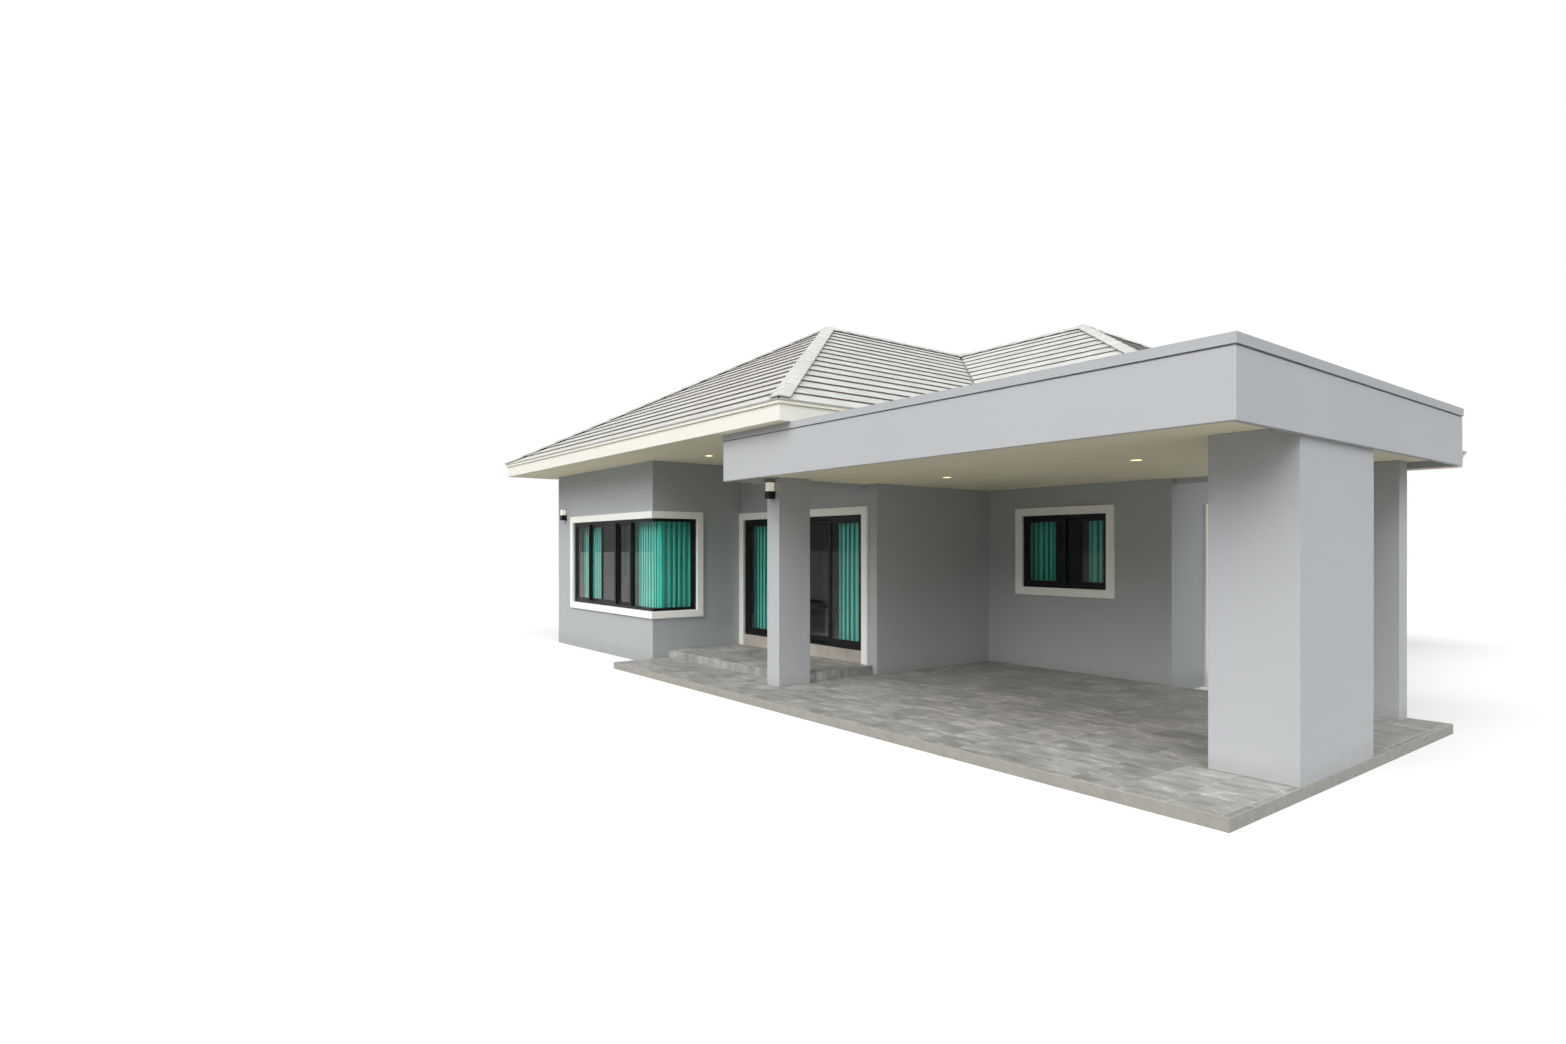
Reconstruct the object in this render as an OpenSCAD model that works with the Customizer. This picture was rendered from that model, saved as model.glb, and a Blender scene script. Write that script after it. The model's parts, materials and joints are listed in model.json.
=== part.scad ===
// Single-storey house with a hipped L-shaped roof and a flat-roofed carport at its front corner.
// The front faces -Y and the carport stands on the +X side.
// The origin is at ground level under the centre of the main block.

/* [House plan] */
// Width of the main block over its outer wall faces
house_w = 10750; // [10200:50:11600]
// Depth of the main block behind the carport
main_d = 7200; // [6400:50:8000]
// Width of the front wing
wing_w = 4120; // [3900:20:4400]
// Distance that the front wing stands before the entry wall
wing_out = 1785; // [1600:5:1950]
// Width of the wall between the entry opening and the carport
entry_right_w = 300; // [200:10:420]
// Distance from the entry wall back to the wall behind the carport
carport_recess = 2520; // [2200:20:2800]
// Thickness of every outer wall
wall_t = 150; // [140:5:180]

/* [Levels] */
// Thickness of the carport floor above the ground
carport_floor_t = 100; // [80:5:120]
// Height of the entry terrace above the ground
terrace_level = 225; // [190:5:260]
// Height of the house floor above the ground
floor_level = 415; // [380:5:450]
// Height of the eaves lining above the ground
soffit_level = 3430; // [3350:10:3550]
// Thickness of the ceiling and of the eaves lining
ceiling_t = 50; // [30:5:80]

/* [Hipped roof] */
// Width that both arms of the roof span, from fascia to fascia
roof_span = 9400; // [9300:20:9700]
// Pitch of every slope in degrees
roof_pitch = 28.5; // [24:0.5:31]
// Overhang of the eaves at the front and the rear
eave_out = 880; // [820:10:960]
// Overhang of the eaves on the carport side
east_eave_out = 1200; // [1100:10:1300]
// Overhang of the eaves on the west side
west_eave_out = 550; // [500:10:620]
// Height of the eaves fascia
eave_fascia_h = 210; // [180:5:280]
// Thickness of the eaves fascia
eave_fascia_t = 30; // [20:5:40]
// Thickness of a slope with its tiles
roof_t = 60; // [50:5:80]
// Distance that the tiles pass the fascia
tile_lip = 40; // [20:5:60]
// Width of the ridge and hip caps, measured level
cap_w = 290; // [220:10:340]
// Thickness of the ridge and hip caps
cap_t = 30; // [20:5:45]
// Radius of the moulded pieces over the ends of the ridges
hub_r = 240; // [200:10:300]
// Thickness of those pieces over the caps
hub_t = 12; // [8:1:20]

/* [Carport] */
// Width of the carport roof over its fascia
carport_w = 6420; // [6200:20:6700]
// Distance that the carport roof stands before the front wing
carport_front_out = 710; // [640:10:780]
// Distance that the carport roof passes the wall behind it
carport_rear_out = 140; // [80:10:200]
// Height of the carport ceiling above the ground
carport_ceiling_level = 2900; // [2850:10:2950]
// Thickness of the carport roof slab
carport_roof_t = 150; // [120:5:200]
// Distance that the carport fascia hangs below the ceiling
carport_drop = 75; // [40:5:110]
// Thickness of the carport fascia
carport_fascia_t = 45; // [30:5:60]
// Height of the metal cap on the carport fascia
carport_cap_h = 80; // [60:5:100]
// Distance that the cap stands proud of the fascia
carport_cap_out = 8; // [4:1:15]
// Height of the cap's folded drip edge
drip_h = 8; // [5:1:12]
// Distance that the drip edge stands before the cap's face
drip_out = 5; // [3:1:8]
// Height of the shadow groove in the fascia under the cap
groove_h = 10; // [6:1:16]
// Depth of that groove
groove_d = 8; // [4:1:12]

/* [Posts] */
// Width of the post at the entry
entry_column_w = 270; // [240:5:300]
// Depth of the post at the entry
entry_column_d = 530; // [480:10:580]
// Width of the broad pier at the carport's front corner
pier_w = 700; // [600:10:800]
// Depth of the broad pier
pier_d = 1550; // [1400:10:1700]
// Distance of the pier's front behind the carport fascia
pier_setback = 1165; // [1000:5:1300]
// Side of the square rear post
rear_column_w = 240; // [200:5:280]
// Distance of the rear post inside the carport fascia
rear_column_inset = 445; // [350:5:550]

/* [Entry terrace] */
// Depth of the terrace before the entry wall
terrace_d = 1470; // [1350:10:1600]
// Distance of the terrace's side edge from the carport's wall face
terrace_side_gap = 95; // [60:5:140]

/* [Openings] */
// Height of doors and window heads above the house floor
head_h = 2045; // [1950:5:2150]
// Width of the white bands around the openings
surround_w = 120; // [90:5:125]
// Distance that the bands stand proud of the wall
surround_out = 40; // [25:5:60]
// Distance of the frames behind the wall face
frame_inset = 20; // [10:5:30]
// Face width of the fixed window and door frames
frame_w = 50; // [40:5:60]
// Depth of the window frames
window_frame_d = 90; // [80:5:100]
// Thickness of the window panes
glass_t = 6; // [5:1:10]

/* [Corner window] */
// Width of the corner window on the front face
corner_front_w = 3300; // [3100:10:3500]
// Width of the frameless corner pane on either face
corner_pane_w = 850; // [700:10:950]
// Height of the corner window's sill above the house floor
corner_sill_h = 475; // [400:5:600]
// Number of sliding sashes on the front face
corner_sashes = 4; // [2:2:4]

/* [Plain windows] */
// Width of a plain window
window_w = 1450; // [1300:10:1550]
// Height of a plain window's sill above the house floor
window_sill_h = 935; // [850:5:1100]
// Distance of the carport window's middle from the carport's side wall
carport_window_x = 1410; // [1300:10:1500]
// Distance of the rear windows from the middle of the rear wall
rear_window_x = 2690; // [2300:10:3000]
// Distance of the west window behind the middle of the main block
west_window_y = 1800; // [1400:10:2200]
// Distance of the east window behind the middle of the main block
east_window_y = 1440; // [1200:10:1800]
// Thickness of a window sash
sash_t = 35; // [30:1:36]
// Face width of a window sash
sash_w = 45; // [35:1:55]

/* [Entry doors] */
// Width of the entry opening
entry_open_w = 3130; // [2900:10:3300]
// Depth of the entry door frame
entry_frame_d = 110; // [108:1:118]
// Height of the entry door's bottom track
track_h = 35; // [25:1:45]
// Thickness of a glazed door panel
panel_t = 40; // [35:1:42]
// Face width of a door panel's stiles and rails
stile_w = 60; // [50:1:75]
// Height of a door panel's lower rail
foot_rail_h = 85; // [60:5:110]
// Length of a sliding panel's handle
handle_h = 300; // [200:10:400]
// Clearance of a sliding panel from what it passes
running_gap = 6; // [5:0.5:8]
// Clearance of a panel's rollers over the track
roller_gap = 0.3; // [0.2:0.1:0.5]
// Distance between a fully open panel and the jamb
stop_gap = 36; // [20:1:60]

/* [Side door] */
// Width of the side door opening
side_door_w = 900; // [800:10:1000]
// Distance of the side door opening from the front corner of the wall
side_door_y = 1000; // [900:10:1200]
// Thickness of the side door leaf
side_leaf_t = 40; // [35:1:50]
// Face width of the side door leaf's stiles and rails
side_stile_w = 110; // [90:5:130]
// Depth of the moulding round each panel of the leaf
side_panel_d = 8; // [5:1:12]
// Length of the side door's lever
lever_l = 120; // [100:5:140]
// Height of the step before the side door
side_step_h = 205; // [180:5:230]
// Depth of the step before the side door
side_step_d = 320; // [280:10:400]

/* [Lights and curtains] */
// Width and depth of a wall lamp
lamp_w = 105; // [80:5:130]
// Height of a wall lamp
lamp_h = 230; // [180:5:280]
// Height of the wing lamp's middle above the ground
wing_lamp_level = 2640; // [2500:10:2750]
// Height of the entry post lamp's middle above the ground
post_lamp_level = 2730; // [2600:10:2780]
// Distance of the wing lamp from the west corner
wing_lamp_x = 385; // [300:5:500]
// Height of a wall lamp's dark body
lamp_body_h = 98; // [80:2:120]
// Distance of the first carport light from the wall beside it
carport_light_x = 1335; // [1000:5:1600]
// Distance between the carport lights
carport_light_step = 2670; // [2200:10:3000]
// Distance of the porch light from the wing's side wall
porch_light_x = 1150; // [900:10:1400]
// Distance of the porch light behind the wing's front face
porch_light_y = 395; // [300:5:500]
// Diameter of a recessed ceiling light
downlight_d = 150; // [100:5:200]
// Thickness of a hanging curtain's folds
curtain_t = 60; // [40:5:80]
// Width of a drawn-back curtain
curtain_w = 420; // [300:10:520]

/* [Hidden] */

$fn = 48;

// Overlap of a cutting shape past the face that it cuts
cut = 10;
// Reach of a cutting shape that passes the whole house
far = 40000;
// Facets of small rounded corners
small_fn = 16;

// Plan lines of the outer wall faces
x_west = -house_w / 2;
x_wing = x_west + wing_w;
x_door = x_wing + surround_w;
x_entry = x_door + entry_open_w + entry_right_w;
x_east = house_w / 2;
y_rear = main_d / 2;
y_back = -main_d / 2;
y_entry = y_back - carport_recess;
y_front = y_entry - wing_out;

// Levels above the ground
head_level = floor_level + head_h;
wall_top = soffit_level + ceiling_t;
eave_level = soffit_level + eave_fascia_h;
carport_top = soffit_level;
cap_bottom = carport_top - carport_cap_h;

// Outline of the eaves at the fascia's outer face
x_eave_west = x_west - west_eave_out;
x_eave_wing = x_eave_west + roof_span;
x_eave_east = x_east + east_eave_out;
y_eave_front = y_front - eave_out;
y_eave_rear = y_rear + eave_out;
y_eave_main = y_eave_rear - roof_span;

// Outline of the tiles, and the lines of the two ridges
x_tile_west = x_eave_west - tile_lip;
x_tile_wing = x_eave_wing + tile_lip;
x_tile_east = x_eave_east + tile_lip;
y_tile_front = y_eave_front - tile_lip;
y_tile_main = y_eave_main - tile_lip;
y_tile_rear = y_eave_rear + tile_lip;
half_span = roof_span / 2 + tile_lip;
x_ridge = x_tile_west + half_span;
y_ridge = y_tile_rear - half_span;
y_apex = y_tile_front + half_span;
x_apex = x_tile_east - half_span;
tile_level = eave_level - tile_lip * tan(roof_pitch);
slope_run = half_span / cos(roof_pitch);

// Outline of the carport roof over its fascia
x_carport_left = x_entry - entry_column_w;
x_carport_right = x_carport_left + carport_w;
y_carport_front = y_front - carport_front_out;
y_carport_rear = y_back + carport_rear_out;

// Places of the posts
x_pier = x_carport_right - carport_fascia_t - pier_w;
y_pier = y_carport_front + pier_setback;
x_rear_column = x_carport_right - rear_column_inset - rear_column_w;
y_rear_column = y_back - rear_column_w;

// Entry opening and its four panels
door_clear_w = entry_open_w - 2 * frame_w;
x_door_clear = x_door + frame_w;
x_door_middle = x_door + entry_open_w / 2;
z_track = floor_level + track_h;
panel_h = head_level - frame_w - z_track;
sliding_h = panel_h - 2 * running_gap;
panel_w = (door_clear_w / 2 + stile_w - running_gap / 2) / 2;
y_fixed_panel = y_entry + frame_inset + (entry_frame_d - 2 * panel_t - 2 * running_gap) / 2;
y_sliding_panel = y_fixed_panel + panel_t + 2 * running_gap;
stop_w = 20;
stop_h = 30;
roller_l = 80;
roller_w = 14;
roller_end_gap = 90;
handle_w = 18;
handle_bar = 10;
handle_out = 32;
handle_r = 8;
handle_level = 1000;

// Corner window
corner_sill = floor_level + corner_sill_h;
corner_h = head_level - corner_sill;
x_corner_window = x_wing - corner_front_w;
x_corner_mullion = x_wing - corner_pane_w - frame_w;
sash_run = x_corner_mullion - x_corner_window - frame_w;
corner_sash_w = (sash_run + (corner_sashes - 1) * sash_w) / corner_sashes;
y_corner_end = y_front + corner_pane_w;

// Plain windows: the wall that holds each one, and the place of its middle along that wall
window_sill = floor_level + window_sill_h;
window_h = head_level - window_sill;
wing_window_y = (y_front + y_back) / 2;
PLAIN_WINDOWS = [
    ["carport", x_entry + carport_window_x],
    ["rear", -rear_window_x], ["rear", rear_window_x],
    ["west", west_window_y], ["west", wing_window_y],
    ["east", east_window_y]
];
frame_clear_w = window_w - 2 * frame_w;
plain_sash_w = (frame_clear_w + sash_w) / 2;
frame_clear_h = window_h - 2 * frame_w;
sash_gap = (window_frame_d - 2 * sash_t) / 3;
side_door_middle = y_back + side_door_y + side_door_w / 2;

// Curtains hang behind the inner wall face, from tracks on brackets
curtain_back = 50;
rail_y = curtain_back + curtain_t / 2;
rail_d = curtain_back + curtain_t + 10;
rail_h = 25;
rail_w = 30;
rail_slot_w = 8;
rail_slot_h = 14;
bracket_w = 30;
bracket_t = 4;
bracket_h = 45;
bracket_in = 60;
rail_over = 60;
rail_past = 90;
curtain_rail_gap = 0.3;
curtain_floor_gap = 20;
curtain_end_gap = 15;
curtain_below_sill = 150;

// Recessed lights: a turned ring with a bevelled inner edge, and a lens set back in it
downlight_ring_t = 4;
downlight_ring_w = 15;
downlight_ease = 2;
downlight_lens_t = 2;
light_y = (y_carport_front + y_back) / 2;

// Wall lamps: a body on a back plate, and a ribbed lens under a lid
lamp_r = 8;
lamp_plate_t = 8;
lamp_lid_t = 9;
lamp_lens_in = 10;
lamp_rib_in = 6;
lamp_ribs = 6;
lamp_rib_pitch = (lamp_h - lamp_body_h - lamp_lid_t) / lamp_ribs;
lamp_rib_gap = 5;

// Latches on the window sashes
latch_w = 16;
latch_h = 60;
latch_t = 4;
latch_r = 14;
latch_bite = 9;
latch_out = 12;

// Side door leaf, its two by three panels and its lever
leaf_w = side_door_w - 2 * frame_w;
leaf_h = head_level - frame_w - floor_level;
side_panels_across = 2;
side_panels_up = 3;
side_panel_w = (leaf_w - (side_panels_across + 1) * side_stile_w) / side_panels_across;
side_panel_h = (leaf_h - (side_panels_up + 1) * side_stile_w) / side_panels_up;
side_field_in = 28;
side_field_out = 5;
lever_level = floor_level + 1000;
lever_edge = 55;
lever_rose_r = 25;
lever_rose_t = 7;
lever_neck_r = 8;
lever_out = 42;
lever_w = 18;
lever_t = 10;

// Colours
wall_grey = [0.68, 0.70, 0.71];
fascia_grey = [0.74, 0.76, 0.79];
pale = [0.93, 0.92, 0.89];
tile_white = [0.86, 0.86, 0.85];
floor_grey = [0.55, 0.55, 0.56];
dark = [0.10, 0.10, 0.11];
clear = [0.60, 0.75, 0.78, 0.35];
teal = [0.18, 0.60, 0.52];
warm = [1.00, 0.90, 0.70];

// A box between two opposite corners
module box(x0, x1, y0, y1, z0, z1)
    translate([x0, y0, z0]) cube([x1 - x0, y1 - y0, z1 - z0]);

// Stands its children on a wall: x along it, y into it from the outer face, z up
module on_wall(wall, along) {
    if (wall == "carport") translate([along, y_back, 0]) children();
    if (wall == "rear") translate([along, y_rear, 0]) rotate([0, 0, 180]) children();
    if (wall == "west") translate([x_west, along, 0]) rotate([0, 0, -90]) children();
    if (wall == "east") translate([x_east, along, 0]) rotate([0, 0, 90]) children();
}

// Holes of the plain windows of one wall
module window_holes(wall)
    for (w = PLAIN_WINDOWS)
        if (w[0] == wall)
            on_wall(wall, w[1]) box(-window_w / 2, window_w / 2, -cut, wall_t + cut, window_sill, head_level);

// A rectangle with rounded corners, its lower left corner at the origin
module rounded(w, h, r) {
    translate([r, 0]) square([w - 2 * r, h]);
    translate([0, r]) square([w, h - 2 * r]);
    for (x = [r, w - r], y = [r, h - r]) translate([x, y]) circle(r, $fn = small_fn);
}

// A rectangular frame in the xz plane, whose foot may be taller than its other bars
module bar_frame(w, h, bar, depth, foot = 0) {
    low = max(bar, foot);
    difference() {
        cube([w, depth, h]);
        translate([bar, -cut, low]) cube([w - 2 * bar, depth + 2 * cut, h - low - bar]);
    }
}

// A band around an opening on a wall face, with its foot open for a door
module band(w, z0, z1, open_foot)
    difference() {
        box(-w / 2 - surround_w, w / 2 + surround_w, -surround_out, 0,
            open_foot ? z0 : z0 - surround_w, z1 + surround_w);
        box(-w / 2, w / 2, -surround_out - cut, cut, open_foot ? z0 - cut : z0, z1);
    }

// Plan of the house walls, outer faces moved in by a distance
module house_plan(inside = 0) {
    translate([x_west + inside, y_front + inside])
        square([wing_w - 2 * inside, y_rear - y_front - 2 * inside]);
    translate([x_west + inside, y_entry + inside])
        square([x_entry - x_west - 2 * inside, y_rear - y_entry - 2 * inside]);
    translate([x_west + inside, y_back + inside])
        square([house_w - 2 * inside, main_d - 2 * inside]);
}

// Plan of the eaves at the fascia, moved in by a distance
module eave_plan(inside = 0) {
    translate([x_eave_west + inside, y_eave_front + inside])
        square([roof_span - 2 * inside, y_eave_rear - y_eave_front - 2 * inside]);
    translate([x_eave_west + inside, y_eave_main + inside])
        square([x_eave_east - x_eave_west - 2 * inside, roof_span - 2 * inside]);
}

// Plan of the carport roof at the fascia, moved in by a distance
module carport_plan(inside = 0)
    difference() {
        translate([x_carport_left + inside, y_carport_front + inside])
            square([carport_w - 2 * inside, y_carport_rear - y_carport_front - 2 * inside]);
        house_plan();
    }

// Corners of the roof plan
front_left = [x_tile_west, y_tile_front];
front_right = [x_tile_wing, y_tile_front];
valley_foot = [x_tile_wing, y_tile_main];
east_front = [x_tile_east, y_tile_main];
east_rear = [x_tile_east, y_tile_rear];
rear_left = [x_tile_west, y_tile_rear];
front_apex = [x_ridge, y_apex];
ridge_turn = [x_ridge, y_ridge];
east_apex = [x_apex, y_ridge];

// Slopes: name, turn about z, a point on the line of the tiles' lower edge, and the plan
SLOPES = [
    ["wing_front", 0, front_left, [front_left, front_right, front_apex]],
    ["wing_east", 90, front_right, [front_right, valley_foot, ridge_turn, front_apex]],
    ["main_front", 0, valley_foot, [valley_foot, east_front, east_apex, ridge_turn]],
    ["main_east", 90, east_front, [east_front, east_rear, east_apex]],
    ["rear", 180, east_rear, [east_rear, rear_left, ridge_turn, east_apex]],
    ["west", -90, rear_left, [rear_left, front_left, front_apex, ridge_turn]]
];
function slope(name) = [for (s = SLOPES) if (s[0] == name) s][0];

// Hips and ridges: the two slopes that meet there, and the line's ends
FOLDS = [
    ["wing_front", "west", front_left, front_apex],
    ["wing_front", "wing_east", front_right, front_apex],
    ["main_front", "main_east", east_front, east_apex],
    ["main_east", "rear", east_rear, east_apex],
    ["rear", "west", rear_left, ridge_turn],
    ["wing_east", "west", front_apex, ridge_turn],
    ["main_front", "rear", ridge_turn, east_apex]
];

// Points where three or more of those lines and the valley come together, with their slopes
HUBS = [
    [front_apex, ["wing_front", "wing_east", "west"]],
    [ridge_turn, ["wing_east", "main_front", "rear", "west"]],
    [east_apex, ["main_front", "main_east", "rear"]]
];

// A layer of one slope between two heights square to it, over the part of its plan that the children cover
module slope_layer(name, lift, thick) {
    row = slope(name);
    intersection() {
        translate([0, 0, -far / 2]) linear_extrude(far) intersection() {
            polygon(row[3]);
            children();
        }
        translate([row[2][0], row[2][1], tile_level])
            rotate([0, 0, row[1]])
                rotate([roof_pitch, 0, 0])
                    translate([-far / 2, -tile_lip, lift])
                        cube([far, slope_run + 2 * tile_lip, thick]);
    }
}

// A whole slope
module whole_slope(name)
    color(tile_white) slope_layer(name, 0, roof_t) square(far, center = true);

// The cap over a hip or ridge: on each slope, what lies within half a cap's width of the line
module fold_cap(fold) {
    along = fold[3] - fold[2];
    for (name = [fold[0], fold[1]])
        slope_layer(name, roof_t, cap_t)
            translate(fold[2]) rotate(atan2(along[1], along[0]))
                translate([0, -cap_w / 2]) square([norm(along), cap_w]);
}

// The moulded piece over a point where folds meet
module hub(row)
    for (name = row[1])
        slope_layer(name, roof_t + cap_t, hub_t)
            translate(row[0]) circle(hub_r, $fn = small_fn);

// Modules of the pieces

module house_floor()
    color(floor_grey) {
        linear_extrude(floor_level) difference() {
            house_plan(wall_t);
            translate([x_wing - wall_t, y_front]) square([wall_t, y_entry + wall_t - y_front]);
        }
        box(x_door, x_door + entry_open_w, y_entry, y_entry + wall_t, 0, floor_level);
    }

module carport_floor()
    color(floor_grey) linear_extrude(carport_floor_t) difference() {
        translate([x_wing, y_carport_front])
            square([x_carport_right - carport_fascia_t - x_wing, y_back - y_carport_front]);
        house_plan();
        terrace_plan();
    }

module terrace_plan()
    difference() {
        translate([x_wing, y_entry - terrace_d])
            square([x_entry - terrace_side_gap - x_wing, terrace_d]);
        entry_column_plan();
    }

module entry_column_plan()
    translate([x_carport_left, y_front]) square([entry_column_w, entry_column_d]);

module entry_terrace()
    color(floor_grey) linear_extrude(terrace_level) terrace_plan();

module front_wall()
    color(wall_grey) difference() {
        box(x_west, x_wing, y_front, y_front + wall_t, 0, wall_top);
        box(x_corner_window, x_wing + cut, y_front - cut, y_front + wall_t + cut, corner_sill, head_level);
    }

module wing_side_wall()
    color(wall_grey) difference() {
        box(x_wing - wall_t, x_wing, y_front + wall_t, y_entry + wall_t, 0, wall_top);
        box(x_wing - wall_t - cut, x_wing + cut, y_front, y_corner_end, corner_sill, head_level);
    }

module entry_wall_left()
    color(wall_grey) box(x_wing, x_door, y_entry, y_entry + wall_t, 0, head_level);

module entry_wall_right()
    color(wall_grey)
        box(x_door + entry_open_w, x_entry, y_entry, y_entry + wall_t, 0, head_level);

module entry_wall_over()
    color(wall_grey) box(x_wing, x_entry, y_entry, y_entry + wall_t, head_level, wall_top);

module carport_side_wall()
    color(wall_grey) box(x_entry - wall_t, x_entry, y_entry + wall_t, y_back, 0, wall_top);

module carport_back_wall()
    color(wall_grey) difference() {
        box(x_entry - wall_t, x_east, y_back, y_back + wall_t, 0, wall_top);
        window_holes("carport");
    }

module east_wall()
    color(wall_grey) difference() {
        box(x_east - wall_t, x_east, y_back + wall_t, y_rear - wall_t, 0, wall_top);
        window_holes("east");
        on_wall("east", side_door_middle)
            box(-side_door_w / 2, side_door_w / 2, -cut, wall_t + cut, floor_level, head_level);
    }

module rear_wall()
    color(wall_grey) difference() {
        box(x_west, x_east, y_rear - wall_t, y_rear, 0, wall_top);
        window_holes("rear");
    }

module west_wall()
    color(wall_grey) difference() {
        box(x_west, x_west + wall_t, y_front + wall_t, y_rear - wall_t, 0, wall_top);
        window_holes("west");
    }

module entry_column()
    color(fascia_grey) translate([0, 0, carport_floor_t])
        linear_extrude(carport_ceiling_level - carport_floor_t) entry_column_plan();

module front_pier()
    color(fascia_grey)
        box(x_pier, x_pier + pier_w, y_pier, y_pier + pier_d, carport_floor_t, carport_ceiling_level);

module rear_column()
    color(fascia_grey)
        box(x_rear_column, x_rear_column + rear_column_w, y_rear_column, y_rear_column + rear_column_w,
            carport_floor_t, carport_ceiling_level);

module carport_roof()
    color(pale) translate([0, 0, carport_ceiling_level])
        linear_extrude(carport_roof_t) carport_plan(carport_fascia_t);

module carport_fascia()
    color(fascia_grey) difference() {
        union() {
            fascia_ring(0, carport_ceiling_level - carport_drop, cap_bottom - groove_h);
            fascia_ring(groove_d, cap_bottom - groove_h, cap_bottom);
        }
        linear_extrude(carport_ceiling_level) entry_column_plan();
    }

// A ring of the carport fascia between two levels, its outer face moved in by a distance
module fascia_ring(inside, z0, z1)
    translate([0, 0, z0]) linear_extrude(z1 - z0) difference() {
        carport_plan(inside);
        carport_plan(carport_fascia_t);
    }

module carport_cap()
    color(fascia_grey) translate([0, 0, cap_bottom]) difference() {
        union() {
            linear_extrude(carport_cap_h) carport_plan(-carport_cap_out);
            linear_extrude(drip_h) carport_plan(-carport_cap_out - drip_out);
        }
        translate([0, 0, -cut]) linear_extrude(carport_cap_h + 2 * cut)
            carport_plan(carport_fascia_t + carport_cap_out);
    }

module roof_wing_front()
    whole_slope("wing_front");

module roof_wing_east()
    whole_slope("wing_east");

module roof_main_front()
    whole_slope("main_front");

module roof_main_east()
    whole_slope("main_east");

module roof_rear()
    whole_slope("rear");

module roof_west()
    whole_slope("west");

module ridge_and_hip_caps()
    color(tile_white) {
        for (f = FOLDS) fold_cap(f);
        for (h = HUBS) hub(h);
    }

module eave_fascia()
    color(pale) translate([0, 0, soffit_level]) linear_extrude(eave_fascia_h) difference() {
        eave_plan();
        eave_plan(eave_fascia_t);
    }

module eave_soffit()
    color(pale) translate([0, 0, soffit_level]) linear_extrude(ceiling_t) difference() {
        eave_plan(eave_fascia_t);
        house_plan();
    }

module house_ceiling()
    color(pale) translate([0, 0, soffit_level]) linear_extrude(ceiling_t) difference() {
        house_plan(wall_t);
        translate([x_wing - wall_t, y_front]) square([wall_t, y_entry + wall_t - y_front]);
    }

module window_surrounds()
    color(pale) {
        for (w = PLAIN_WINDOWS) on_wall(w[0], w[1]) band(window_w, window_sill, head_level, false);
        difference() {
            box(x_corner_window - surround_w, x_wing + surround_out,
                y_front - surround_out, y_corner_end + surround_w,
                corner_sill - surround_w, head_level + surround_w);
            box(x_west, x_wing, y_front, y_rear, 0, wall_top);
            box(x_corner_window, x_wing + surround_out + cut,
                y_front - surround_out - cut, y_corner_end, corner_sill, head_level);
        }
    }

module door_surrounds()
    color(pale) {
        translate([x_door_middle, y_entry, 0]) band(entry_open_w, terrace_level, head_level, true);
        on_wall("east", side_door_middle) band(side_door_w, 0, head_level, true);
    }

// Frame of a window with two sashes that pass each other, its lower outer corner at the origin
module plain_frame() {
    bar_frame(window_w, window_h, frame_w, window_frame_d);
    translate([frame_w, sash_gap, frame_w]) bar_frame(plain_sash_w, frame_clear_h, sash_w, sash_t);
    translate([window_w - frame_w - plain_sash_w, 2 * sash_gap + sash_t, frame_w]) {
        bar_frame(plain_sash_w, frame_clear_h, sash_w, sash_t);
        translate([sash_w / 2, sash_t, frame_clear_h / 2]) latch();
    }
}

// The pane that fills a frame of the given size
module sash_pane(w, h, bar, thick, foot = 0) {
    low = max(bar, foot);
    translate([bar, (thick - glass_t) / 2, low]) cube([w - 2 * bar, glass_t, h - low - bar]);
}

// A crescent latch that stands on a face at the origin towards +Y
module latch() {
    translate([-latch_w / 2, 0, -latch_h / 2]) cube([latch_w, latch_t, latch_h]);
    rotate([-90, 0, 0]) linear_extrude(latch_out, $fn = small_fn) difference() {
        circle(latch_r);
        translate([latch_r, 0]) circle(latch_bite);
    }
}

module window_frames()
    color(dark) for (w = PLAIN_WINDOWS)
        on_wall(w[0], w[1]) translate([-window_w / 2, frame_inset, window_sill]) plain_frame();

module window_glass()
    color(clear) for (w = PLAIN_WINDOWS)
        on_wall(w[0], w[1]) translate([-window_w / 2, frame_inset, window_sill]) {
            translate([frame_w, sash_gap, frame_w])
                sash_pane(plain_sash_w, frame_clear_h, sash_w, sash_t);
            translate([window_w - frame_w - plain_sash_w, 2 * sash_gap + sash_t, frame_w])
                sash_pane(plain_sash_w, frame_clear_h, sash_w, sash_t);
        }

// Place of a corner sash by its number, on the outer or inner track in turn
module at_corner_sash(i)
    translate([x_corner_window + frame_w + i * (corner_sash_w - sash_w),
               y_front + frame_inset + sash_gap + (i % 2) * (sash_t + sash_gap),
               corner_sill + frame_w]) children();

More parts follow.
